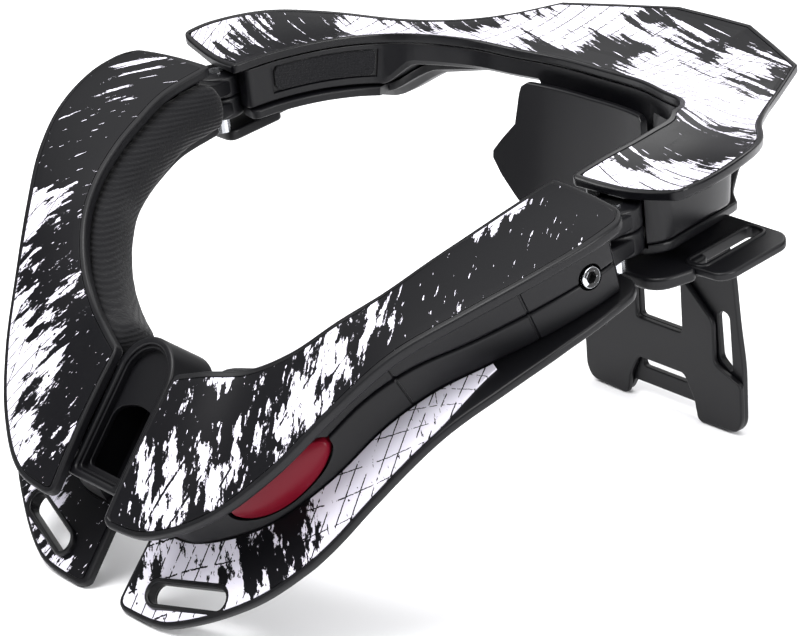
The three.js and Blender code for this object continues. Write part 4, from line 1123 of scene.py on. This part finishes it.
def flat_piece(name, outlines, thickness, edge, origin, x_axis, y_axis):
    """A plate: a filled flat curve with holes, given its thickness and its rounded edge."""
    deselect()
    bpy.ops.curve.primitive_bezier_curve_add()
    obj = bpy.context.object
    obj.name = name
    data = obj.data
    data.splines.clear()
    data.dimensions = "2D"
    data.fill_mode = "BOTH"
    for corners in outlines:
        points = rounded(corners, 5)
        spline = data.splines.new("POLY")
        spline.points.add(len(points) - 1)
        for spot, (x, y) in zip(spline.points, points):
            spot.co = (x * MM, y * MM, 0, 1)
        spline.use_cyclic_u = True
    data.extrude = (thickness / 2 - edge) * MM
    data.bevel_depth = edge * MM
    data.bevel_resolution = 2
    data.offset = -edge * MM
    bpy.ops.object.convert(target="MESH")
    obj = bpy.context.object
    x_axis, y_axis = Vector(x_axis), Vector(y_axis)
    turn = Matrix((x_axis, y_axis, x_axis.cross(y_axis))).transposed().to_4x4()
    turn.translation = Vector(origin) * MM
    obj.data.transform(turn)
    obj.matrix_world = Matrix.Identity(4)
    return finish_mesh(settle(obj))


def on_strut(name, outlines, thickness, forward, edge):
    """A flat piece in the strut's leaning plane."""
    up = (0, -math.sin(STRUT["lean"]), math.cos(STRUT["lean"]))
    return flat_piece(name, outlines, thickness, edge, place(1, 0, forward, FLOOR + 0.2), (1, 0, 0), up)


def leg_gap(low, high):
    """A rounded opening between the legs, between two shares of the top."""
    leg = STRUT_LEG * STRUT["half"]
    return slab(-leg, leg, low * STRUT["top"], high * STRUT["top"], 2)


def back_strut(name):
    """The strut's plate, with its legs, its two bars and a window on each side."""
    foot, leg = STRUT_FOOT * STRUT["half"], STRUT_LEG * STRUT["half"]
    low = LOW_BAR[0] * STRUT["top"]
    outline = strut_points(STRUT_OUTLINE) + list(reversed(strut_points(STRUT_OUTLINE, -1)))
    outline += [(-foot, low, 1), (-leg, low, 1), (leg, low, 1), (foot, low, 1)]
    holes = [leg_gap(BAR[1], OPEN_TOP), leg_gap(LOW_BAR[1], BAR[0])]
    holes += [strut_points(STRUT_WINDOW), strut_points(STRUT_WINDOW, -1)]
    forward = STRUT["face"] - STRUT["layer"] - GAP - STRUT["plate"] / 2
    return on_strut(name, [outline] + holes, STRUT["plate"], forward, 0.6)


def strut_layer(name):
    """The H shaped layer on the strut's front face."""
    leg, foot = STRUT_LEG * STRUT["half"], STRUT_FOOT * STRUT["half"]
    low, high = BAR[0] * STRUT["top"], BAR[1] * STRUT["top"]
    outline = strut_points(LAYER_OUTLINE) + [(leg, high, 2), (-leg, high, 2)]
    outline += list(reversed(strut_points(LAYER_OUTLINE, -1)))
    outline += [(-foot, low * 0.5, 2), (-leg, low, 2), (leg, low, 2), (foot, low * 0.5, 2)]
    return on_strut(name, [outline], STRUT["layer"], STRUT["face"] - STRUT["layer"] / 2, 0.7)


# The back pad's half width, its faces' places off the table's edge, and its sections from the
# middle out: out as a share of the half width, top and bottom of the height
PAD_HALF = 44.0
PAD_FACES = (-5.9, -2.4)
PAD_ROWS = [
    (0.0, 0.868, 0.478), (0.4, 0.870, 0.500), (0.7, 0.872, 0.550), (0.76, 0.860, 0.566),
    (0.8, 0.765, 0.580), (0.92, 0.722, 0.625), (1.0, 0.690, 0.665),
]


def k_across(out):
    """The row where the rear table's inner edge is this far out, found by halving."""
    low, high = 0.0, float(REAR_LAST)
    for _ in range(30):
        middle = (low + high) / 2
        if rear_edge(0, middle)[0] < out:
            low = middle
        else:
            high = middle
    return low


def back_pad(name):
    """The shaped plate behind the neck, along the rear table's inner edge."""
    outs = [row[0] for row in PAD_ROWS]
    rings = []
    for i in range(-60, 61):
        out = i / 60
        share = abs(out)
        top = np.interp(share, outs, [row[1] for row in PAD_ROWS]) * COLLAR_HEIGHT
        bottom = np.interp(share, outs, [row[2] for row in PAD_ROWS]) * COLLAR_HEIGHT
        k = k_across(share * PAD_HALF)
        edge = rear_section(k if out >= 0 else -k)
        away = np.array([edge.across[0], edge.across[1], 0])
        away = away / np.linalg.norm(away)
        origin = np.array([edge.origin[0], edge.origin[1], -FLOOR])
        profile = rounded(slab(*PAD_FACES, bottom, top, 1), 3)
        rings.append([origin + away * w + np.array([0, 0, 1.0]) * n for w, n in profile])
    return finish_mesh(loft(name, rings))


# The button between two shares of the arm's length, its height, depth and middle on the wall in mm,
# and its pocket's gaps: all round, more at the bottom and at the ends, and below
BUTTON = {
    "start": 0.63,
    "end": 0.80,
    "height": 15.5,
    "deep": 4.0,
    "middle": 11.0,
    "gap": 0.6,
    "deep gap": 2.4,
    "end gap": 1.4,
    "travel": 3.6,
}


def button_form(name, pocket):
    """The button's lens on the slanting wall, or the pocket that it sinks into, which widens inwards
    because the button is pressed straight while the wall curves."""
    rings = []
    steps = 36
    grow = BUTTON["gap"] if pocket else 0.0
    past = BUTTON["end gap"] if pocket else 0.0
    for i in range(steps + 1):
        angle = math.pi * i / steps
        u = mix(BUTTON["start"], BUTTON["end"], (1 - math.cos(angle)) / 2)
        u -= past * math.cos(angle) / ARM_LENGTH
        section = arm_section(1, u)
        foot = np.array([wall_at(section, u, LOWER_BOTTOM), LOWER_BOTTOM])
        up = np.array([wall_at(section, u, UPPER_TOP), UPPER_TOP]) - foot
        up = up / np.linalg.norm(up)
        out = np.array([up[1], -up[0]])
        half = max(BUTTON["height"] / 2 * math.sin(angle), 0.3) + grow
        bulge = 6.0 if pocket else size("button_crown") * math.sin(angle)
        deep = BUTTON["deep"] + (BUTTON["travel"] if pocket else 0)
        wide = half + BUTTON["deep gap"] if pocket else half * 0.9
        points = [(-wide, -deep), (-half, -0.4)]
        for j in range(13):
            v = -1 + 2 * j / 12
            points.append((half * v, bulge if pocket else bulge * (1 - abs(v) ** 2.4)))
        points += [(half, -0.4), (wide, -deep)]
        rings.append([section.at(*(foot + up * (BUTTON["middle"] + v) + out * e)) for v, e in points])
    return loft(name, rings)


def release_button(name):
    """The release button in the left arm's outer wall."""
    return finish_mesh(button_form(name, False), 50)


def closure():
    """The closure's middle, and its own across, along and rise, between the arms' front ends."""
    left, right = arm_section(1, 1.0), arm_section(-1, 1.0)
    origin = (left.origin + right.origin) / 2
    across = left.across + right.across
    across[0] = 0
    across = across / np.linalg.norm(across)
    along = np.array([1.0, 0, 0])
    rise = np.cross(along, across)
    return origin, across, along, rise if rise[2] > 0 else -rise


# The latch housing: how far it reaches past the closure's middle, its rim, its shift to the right
# and its top
LATCH = {
    "width": 2 * ARM_ROWS[-1][1][0] * HALF_WIDTH,
    "depth": 21.5,
    "above": 9.5,
    "below": 47.0,
    "rim": 3.0,
    "shift": -2.5,
    "top": UPPER_TOP - GAP,
}


def latch_outline(inset):
    """The housing's outline, round at the top and square at the bottom, drawn in by the inset."""
    half = LATCH["width"] / 2 - inset
    top = -LATCH["above"] + inset
    made = [(half, LATCH["below"] - inset, 1.5), (-half, LATCH["below"] - inset, 1.5)]
    for i in range(25):
        angle = math.pi + math.pi * i / 24
        made.append((half * math.cos(angle), top + half + half * math.sin(angle), 0))
    return made


def latch_housing(name):
    """A rounded wall, a floor sunk inside it with the catch's pocket, and a closed bottom."""
    origin, across, along, rise = closure()
    top, depth, rim = LATCH["top"], LATCH["depth"], LATCH["rim"]
    seat = lambda n: origin + rise * n + along * LATCH["shift"]
    half = LATCH["width"] / 2 - rim
    left, right = -half + 1.5, half + 1
    pocket = [(left, 41, 2), (left, 19, 4), (0, 14.5, 6), (right, 17, 3), (right, 41, 2)]
    plate = lambda label, outlines, thick, n, edge: flat_piece(
        f"{name}_{label}", outlines, thick, edge, seat(n - thick / 2), along, across
    )
    wall = plate("wall", [latch_outline(0), latch_outline(rim)], depth, top + 0.9, 0.9)
    line = plate("line", [latch_outline(rim - 0.1), latch_outline(rim + 1.0)], 3, top - 0.4, 0.3)
    floor = plate("floor", [latch_outline(rim - 0.2), pocket], 2.2, top - 3.2, 0.4)
    bottom = plate("bottom", [latch_outline(1)], 2, top - depth + 3, 0.3)
    made = join(wall, line, floor, bottom)
    made.name = name
    return finish_mesh(made)


# Materials
def node(tree, kind, settings=None, **inputs):
    """Adds a node with its settings and its inputs: a value, or the socket that feeds it."""
    made = tree.nodes.new(kind)
    for key, value in (settings or {}).items():
        setattr(made, key, value)
    for key, value in inputs.items():
        socket = made.inputs[int(key[1:])] if key[0] == "_" else made.inputs[key.replace("_", " ")]
        if isinstance(value, bpy.types.NodeSocket):
            tree.links.new(value, socket)
        else:
            socket.default_value = value
    return made


def new_material(name, **inputs):
    """A material with its shader's inputs set."""
    made = bpy.data.materials.new(name)
    made.use_nodes = True
    shader = made.node_tree.nodes["Principled BSDF"]
    for key, value in inputs.items():
        shader.inputs[key.replace("_", " ")].default_value = value
    return made, made.node_tree, shader


def plain(name, held, roughness, metallic=0.0, specular=0.5):
    """An even material in one of the sidebar's colours."""
    return new_material(
        name, Base_Color=tint(held), Roughness=roughness, Metallic=metallic, Specular_IOR_Level=specular
    )[0]


def nylon(name, held, roughness, grain_mm, depth):
    """Moulded nylon, with a grain so many millimetres wide and deep that also varies its gloss."""
    made, tree, shader = new_material(name, Base_Color=tint(held), IOR=1.53, Specular_IOR_Level=0.22)
    spot = node(tree, "ShaderNodeTexCoord").outputs["Object"]
    grain = node(
        tree, "ShaderNodeTexNoise", Vector=spot, Scale=1000 / grain_mm, Detail=2, Roughness=0.6
    ).outputs[0]
    bump = node(tree, "ShaderNodeBump", Height=grain, Strength=1, Distance=depth * MM)
    gloss = node(
        tree, "ShaderNodeMapRange", Value=grain, To_Min=roughness - 0.04, To_Max=roughness + 0.05
    )
    tree.links.new(bump.outputs[0], shader.inputs["Normal"])
    tree.links.new(gloss.outputs[0], shader.inputs["Roughness"])
    return made


# The print's noises, in millimetres: scale along, across and through, detail, roughness, distortion
PRINT_NOISES = {
    # Brush strokes about 80 mm long and 4 mm wide
    "brushed": ((0.012, 0.26, 0.1), 6, 0.62, 0.15),
    # Patches about 50 mm wide, and grit about 2 mm wide
    "patches": ((0.02, 0.02, 0.02), 2, 0.45, 0),
    "grit": ((0.45, 0.45, 0.45), 4, 0.7, 0),
    # Hairs of a dry brush, about 1 mm wide and 30 mm long
    "hair": ((0.032, 0.85, 0.3), 3, 0.6, 0),
}


def printed(name, place_mm, turn, ink_share, fans):
    """The inlays' print: ragged brushed black on white, with fans of thin lines and specks. A fan is
    its centre in mm, its lines to a radian, a line's share of their spacing, and how far into the
    inked patches it reaches."""
    made, tree, shader = new_material(name, Roughness=0.36, IOR=1.5, Specular_IOR_Level=0.14)
    spot = node(tree, "ShaderNodeTexCoord").outputs["Object"]
    flat = node(
        tree, "ShaderNodeMapping",
        Vector=spot, Location=place_mm, Rotation=(0, 0, turn), Scale=(1000, 1000, 1000),
    ).outputs[0]
    held = {}
    for key, (scale, detail, roughness, distortion) in PRINT_NOISES.items():
        way = node(tree, "ShaderNodeMapping", Vector=flat, Scale=scale).outputs[0]
        held[key] = node(
            tree, "ShaderNodeTexNoise",
            Vector=way, Scale=1, Detail=detail, Roughness=roughness, Distortion=distortion,
        ).outputs[0]
    # Cells about 6 mm wide, some of which hold a speck
    cells = node(tree, "ShaderNodeTexVoronoi", Vector=flat, Scale=0.16).outputs
    held["away"] = cells["Distance"]
    held["pick"] = node(tree, "ShaderNodeSeparateColor", Color=cells["Color"]).outputs[0]
    held["x"], held["y"], _ = node(tree, "ShaderNodeSeparateXYZ", Vector=flat).outputs
    steps = [
        ("total", "MULTIPLY_ADD", "patches", 3.4, ink_share - 3.0),
        ("total", "MULTIPLY_ADD", "brushed", 2.2, "total"),
        ("total", "MULTIPLY_ADD", "grit", 0.4, "total"),
        ("ink", "MULTIPLY_ADD", "total", 25.0, 0.5),
        ("worn", "GREATER_THAN", "brushed", 0.44),
    ]
    for x, y, count, width, reach in fans:
        steps += [
            ("across", "SUBTRACT", "x", x),
            ("along", "SUBTRACT", "y", y),
            ("line", "ARCTAN2", "along", "across"),
            ("line", "MULTIPLY", "line", count),
            ("line", "MULTIPLY_ADD", "grit", 0.12, "line"),
            ("line", "FRACT", "line"),
            ("line", "LESS_THAN", "line", width),
            ("line", "MULTIPLY", "line", "worn"),
            ("band", "LESS_THAN", "patches", reach),
            ("line", "MULTIPLY", "line", "band"),
            ("ink", "MAXIMUM", "ink", "line"),
        ]
    # Specks in some cells, and last the dry brush's hairs: dark on the white, bare in the ink
    steps += [
        ("pick", "GREATER_THAN", "pick", 0.62),
        ("speck", "MULTIPLY", "grit", 0.2),
        ("speck", "LESS_THAN", "away", "speck"),
        ("speck", "MULTIPLY", "speck", "pick"),
        ("ink", "MAXIMUM", "ink", "speck"),
        ("dark", "LESS_THAN", "hair", 0.33),
        ("ink", "MAXIMUM", "ink", "dark"),
        ("kept", "LESS_THAN", "hair", 0.685),
        ("ink", "MULTIPLY", "ink", "kept"),
    ]
    for key, operation, *values in steps:
        inputs = {f"_{i}": held.get(value, value) for i, value in enumerate(values)}
        settings = {"operation": operation, "use_clamp": key == "ink"}
        held[key] = node(tree, "ShaderNodeMath", settings, **inputs).outputs[0]
    blend = node(
        tree, "ShaderNodeMix", {"data_type": "RGBA"},
        _0=held["ink"], _6=tint("print_light"), _7=tint("print_dark"),
    )
    tree.links.new(blend.outputs[2], shader.inputs["Base Color"])
    return made


def fabric(name, held, rib, depth, fuzz, ribbed):
    """A fabric with level ridges, so many millimetres apart, and a fuzzy surface, in these shares."""
    made, tree, shader = new_material(
        name, Base_Color=tint(held), Roughness=0.9, Specular_IOR_Level=0.25,
        Sheen_Weight=0.12, Sheen_Roughness=0.4,
    )
    spot = node(tree, "ShaderNodeTexCoord").outputs["Object"]
    # Real fibres are too fine to show, so the pile is drawn 0.9 mm wide
    pile = node(tree, "ShaderNodeTexNoise", Vector=spot, Scale=1000 / 0.9, Detail=3, Roughness=0.7)
    # A wave's ridges stand 20 * scale / (2 * pi) to the metre
    wave = node(
        tree, "ShaderNodeTexWave", {"bands_direction": "Z"}, Vector=spot, Scale=1000 / rib * math.tau / 20,
        Distortion=1.5, Detail=2, Detail_Scale=3,
    )
    ridges = node(tree, "ShaderNodeMath", {"operation": "MULTIPLY"}, _0=wave.outputs[1], _1=ribbed)
    height = node(
        tree, "ShaderNodeMath", {"operation": "MULTIPLY_ADD"},
        _0=pile.outputs[0], _1=fuzz, _2=ridges.outputs[0],
    )
    bump = node(tree, "ShaderNodeBump", Height=height.outputs[0], Strength=1, Distance=depth * MM)
    tree.links.new(bump.outputs[0], shader.inputs["Normal"])
    return made


# Each inlay's print: the pattern's place in mm and turn, the ink's share, and its fans of lines
PRINTS = {
    "left": ((64, -37, 5), 0.95, 0.06, ((-90, 300, 52, 0.1, 0.6), (160, -40, 26, 0.05, 0.5))),
    "right": ((-83, 44, 9), 2.3, 0.3, ((260, 90, 55, 0.1, 0.6), (-60, -90, 22, 0.05, 0.5))),
    "rear": ((12, 75, 2), 0.25, -0.02, ((-240, 120, 60, 0.1, 0.6), (90, -160, 48, 0.07, 0.5))),
    "left_foot": ((-14, 81, 3), 0.6, -0.5, ((-160, 260, 62, 0.1, 1), (210, 160, 24, 0.05, 1))),
    "right_foot": ((52, -36, 3), 2.2, 0.2, ((260, 60, 52, 0.1, 1),)),
}
LOOKS = {}


def looks():
    """The materials, made once."""
    if not LOOKS:
        # Fibre-filled nylon from a fine spark-eroded mould: a deep black with a soft, broad sheen.
        # Its real grain of 0.1 to 0.2 mm is too fine to show, so it is drawn 0.6 mm wide.
        LOOKS["satin"] = nylon("fibre_filled_nylon_satin_moulded", "satin", 0.4, 0.6, 0.004)
        # Nylon from a polished mould: narrower, brighter highlights along the rounded walls, over a
        # slight waviness 1.4 mm wide
        LOOKS["gloss"] = nylon("nylon_polished_moulded", "gloss", 0.3, 1.4, 0.001)
        # Knitted fabric glued over foam: matt, with level ribs 1.6 mm apart and a soft edge light
        LOOKS["foam"] = fabric("ribbed_knit_over_foam", "foam", 1.6, 0.25, 1.0, 1.0)
        # Woven loop tape: matt and fuzzy, its rows 1.2 mm apart, a little lighter than the nylon
        LOOKS["loop"] = fabric("woven_loop_tape", "loop", 1.2, 0.5, 1.6, 0.25)
        # Polycarbonate sheet printed in two colours: ragged black on cool white under a smooth face
        for key, row in PRINTS.items():
            LOOKS[f"{key} print"] = printed(f"printed_polycarbonate_{key}", *row)
        # Acetal with a fine satin: a dark red that stays even across the bulge
        LOOKS["red"] = plain("acetal_fine_satin", "button", 0.34, specular=0.16)
        # Painted shade: the faces inside the bolt's hex socket are drawn near black, for the shade in the
        # hole
        LOOKS["socket"] = plain("steel_black_oxide", "socket", 0.6)
        # Turned stainless steel: a bright ring with a sharp highlight
        LOOKS["steel"] = plain("stainless_steel_turned", "steel", 0.22, 1.0)
    return LOOKS


def dress(obj, material):
    """Gives an object one material."""
    obj.data.materials.clear()
    obj.data.materials.append(material)
    return obj


def put(obj, body, slot, *nodes):
    """Says which body a piece rides on and hides the nodes that it stands for; its material slot is not
    used.
    """
    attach(obj, body)
    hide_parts(*nodes)


class BRACE_OT_arms(bpy.types.Operator):
    """Builds both arms: tables, inlays, shells, lower tables, pads and bolts"""

    bl_idname = "brace.arms"
    bl_label = "Arms"

    def execute(self, context):
        look = looks()
        upper = (PARTING, UPPER_TOP, KNUCKLE_HALF + GAP, KNUCKLE_HEIGHT)
        lower = (LOWER_BOTTOM, LOWER_TOP, 0, KNUCKLE_HALF)
        for name, side in SIDES:
            body = f"{name}_arm"
            rows = [
                (arm_table, "arm_table", (), "satin", "satin_black"),
                (arm_print, "arm_print", (), f"{name} print", "print"),
                (arm_shell, "arm_upper_shell", upper, "satin", "satin_black"),
                (arm_shell, "arm_lower_shell", lower, "satin", "satin_black"),
                (arm_foot, "arm_foot", (), "satin", "satin_black"),
                (foot_print, "foot_print", (), f"{name}_foot print", "print"),
                (arm_pad, "arm_pad", (), "foam", "foam"),
            ]
            for make, part, extra, finish, slot in rows:
                obj = make(f"{name}_{part}_skin", side, *extra)
                dress(obj, look[finish])
                put(obj, body, slot, f"{name}_{part}")
            bolt, inside = arm_bolt(f"{name}_arm_bolt_skin", side)
            dress(bolt, look["steel"])
            # The faces inside the hex socket take the near-black painted shade
            bolt.data.materials.append(look["socket"])
            bolt.data.polygons.foreach_set("material_index", [int(item) for item in inside])
            put(bolt, body, "steel", f"{name}_arm_bolt")
        return {"FINISHED"}


class BRACE_OT_rear(bpy.types.Operator):
    """Builds the rear table, its inlay, the body and ledge under it and the loop patches"""

    bl_idname = "brace.rear"
    bl_label = "Rear collar"

    def execute(self, context):
        look = looks()
        rim = size("rim_width")
        heights = (-PLATE, size("rim_height"))
        table = rear_plate("rear_table_skin", REAR_LAST, *heights, size("table_edge"), 0, 4.0, rim)
        put(dress(table, look["gloss"]), "rear", "satin_black", "rear_table")
        inlay = rear_plate("rear_print_skin", REAR_LAST - 0.175, *INLAY, INLAY_EDGE, rim + 0.15, 2.4)
        put(dress(inlay, look["rear print"]), "rear", "print", "rear_print")
        put(dress(rear_body("rear_body_skin"), look["gloss"]), "rear", "gloss_black", "rear_body")
        put(dress(rear_foot("rear_foot_skin"), look["satin"]), "rear", "satin_black", "rear_foot")
        for name, side in SIDES:
            patch = loop_patch(f"{name}_loop_patch_skin", side)
            put(dress(patch, look["loop"]), "rear", "loop_fabric", f"{name}_loop_patch")
        return {"FINISHED"}


class BRACE_OT_strut(bpy.types.Operator):
    """Builds the back pad and the strut with its front layer"""

    bl_idname = "brace.strut"
    bl_label = "Strut and back pad"

    def execute(self, context):
        look = looks()
        for make in (back_pad, back_strut, strut_layer):
            obj = make(make.__name__ + "_skin")
            put(dress(obj, look["satin"]), "rear", "satin_black", make.__name__)
        return {"FINISHED"}


class BRACE_OT_latch(bpy.types.Operator):
    """Builds the latch housing and the release button"""

    bl_idname = "brace.latch"
    bl_label = "Latch"

    def execute(self, context):
        look = looks()
        housing = dress(latch_housing("latch_housing_skin"), look["satin"])
        put(housing, "right_arm", "satin_black", "latch_housing")
        button = dress(release_button("release_button_skin"), look["red"])
        put(button, "button", "button_red", "release_button")
        dress(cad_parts["latch_tongue"], look["satin"])
        for name, side in SIDES:
            dress(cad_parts[f"{name}_hinge_pin"], look["steel"])
        return {"FINISHED"}


# The soft lights: width in metres, watts, place and aim
LIGHTS = (
    ("key", 1.0, 30, (-0.1, -0.7, 1.3), (0, 0, 0.08)),
    ("side", 0.6, 16, (1.3, 0.1, 0.6), (0.1, 0.03, 0.12)),
    ("back", 0.8, 4, (-0.5, 1.1, 0.9), (0, 0, 0.1)),
)
CAMERA = {"spot": (0.7728, -0.6718, 0.44511), "turn": (69.93, 0, 49.4), "lens": 130.5}


class BRACE_OT_stage(bpy.types.Operator):
    """Builds the pale floor, the studio light and the camera"""

    bl_idname = "brace.stage"
    bl_label = "Stage"

    def execute(self, context):
        deselect()
        bpy.ops.mesh.primitive_plane_add(size=12, location=(0, 0, 0))
        floor = bpy.context.object
        floor.name = "floor"
        dress(floor, plain("pale_floor", "floor", 0.9))
        scene = bpy.context.scene
        world = bpy.data.worlds.new("studio")
        scene.world = world
        world.use_nodes = True
        sky = world.node_tree
        # Dim near the horizon and bright overhead, so that the black walls stay black
        towards = node(sky, "ShaderNodeTexCoord").outputs["Generated"]
        way = node(sky, "ShaderNodeSeparateXYZ", Vector=towards)
        lift = node(
            sky, "ShaderNodeMapRange", {"interpolation_type": "SMOOTHSTEP"},
            Value=way.outputs[2], From_Min=0.3, From_Max=0.85, To_Min=0.12, To_Max=1.5,
        )
        sky.nodes["Background"].inputs["Color"].default_value = (1, 1, 1, 1)
        sky.links.new(lift.outputs[0], sky.nodes["Background"].inputs["Strength"])
        for name, across, energy, spot, aim in LIGHTS:
            bpy.ops.object.light_add(type="AREA", location=spot)
            light = bpy.context.object
            light.name = name
            light.data.size = across
            light.data.energy = energy
            light.rotation_euler = (Vector(aim) - Vector(spot)).to_track_quat("-Z", "Y").to_euler()
        turn = [math.radians(angle) for angle in CAMERA["turn"]]
        bpy.ops.object.camera_add(location=CAMERA["spot"], rotation=turn)
        camera = bpy.context.object
        camera.data.lens = CAMERA["lens"]
        camera.data.sensor_width = 36
        camera.data.clip_start = 0.05
        scene.camera = camera
        scene.view_settings.view_transform = "Standard"
        return {"FINISHED"}


class BRACE_PT_panel(bpy.types.Panel):
    """Lists the operators, and the sizes and colours that they read"""

    bl_idname = "BRACE_PT_panel"
    bl_label = "Neck Brace"
    bl_space_type = "VIEW_3D"
    bl_region_type = "UI"
    bl_category = "Neck Brace"

    def draw(self, context):
        for item in OPERATORS:
            self.layout.operator(item.bl_idname)
        for group in (context.scene.brace_sizes, context.scene.brace_colours):
            for key in group.__annotations__:
                self.layout.prop(group, key)


OPERATORS = (BRACE_OT_stage, BRACE_OT_arms, BRACE_OT_rear, BRACE_OT_strut, BRACE_OT_latch)
CLASSES = (BRACE_PG_sizes, BRACE_PG_colours, *OPERATORS, BRACE_PT_panel)


def register():
    """Registers the classes and hangs the sizes and colours on the scene."""
    for item in CLASSES:
        bpy.utils.register_class(item)
    bpy.types.Scene.brace_sizes = bpy.props.PointerProperty(type=BRACE_PG_sizes)
    bpy.types.Scene.brace_colours = bpy.props.PointerProperty(type=BRACE_PG_colours)


def unregister():
    """Undoes what register did."""
    del bpy.types.Scene.brace_colours
    del bpy.types.Scene.brace_sizes
    for item in reversed(CLASSES):
        bpy.utils.unregister_class(item)


def main():
    register()
    bpy.ops.brace.stage()
    bpy.ops.brace.arms()
    bpy.ops.brace.rear()
    bpy.ops.brace.strut()
    bpy.ops.brace.latch()


if __name__ == "__main__":
    main()
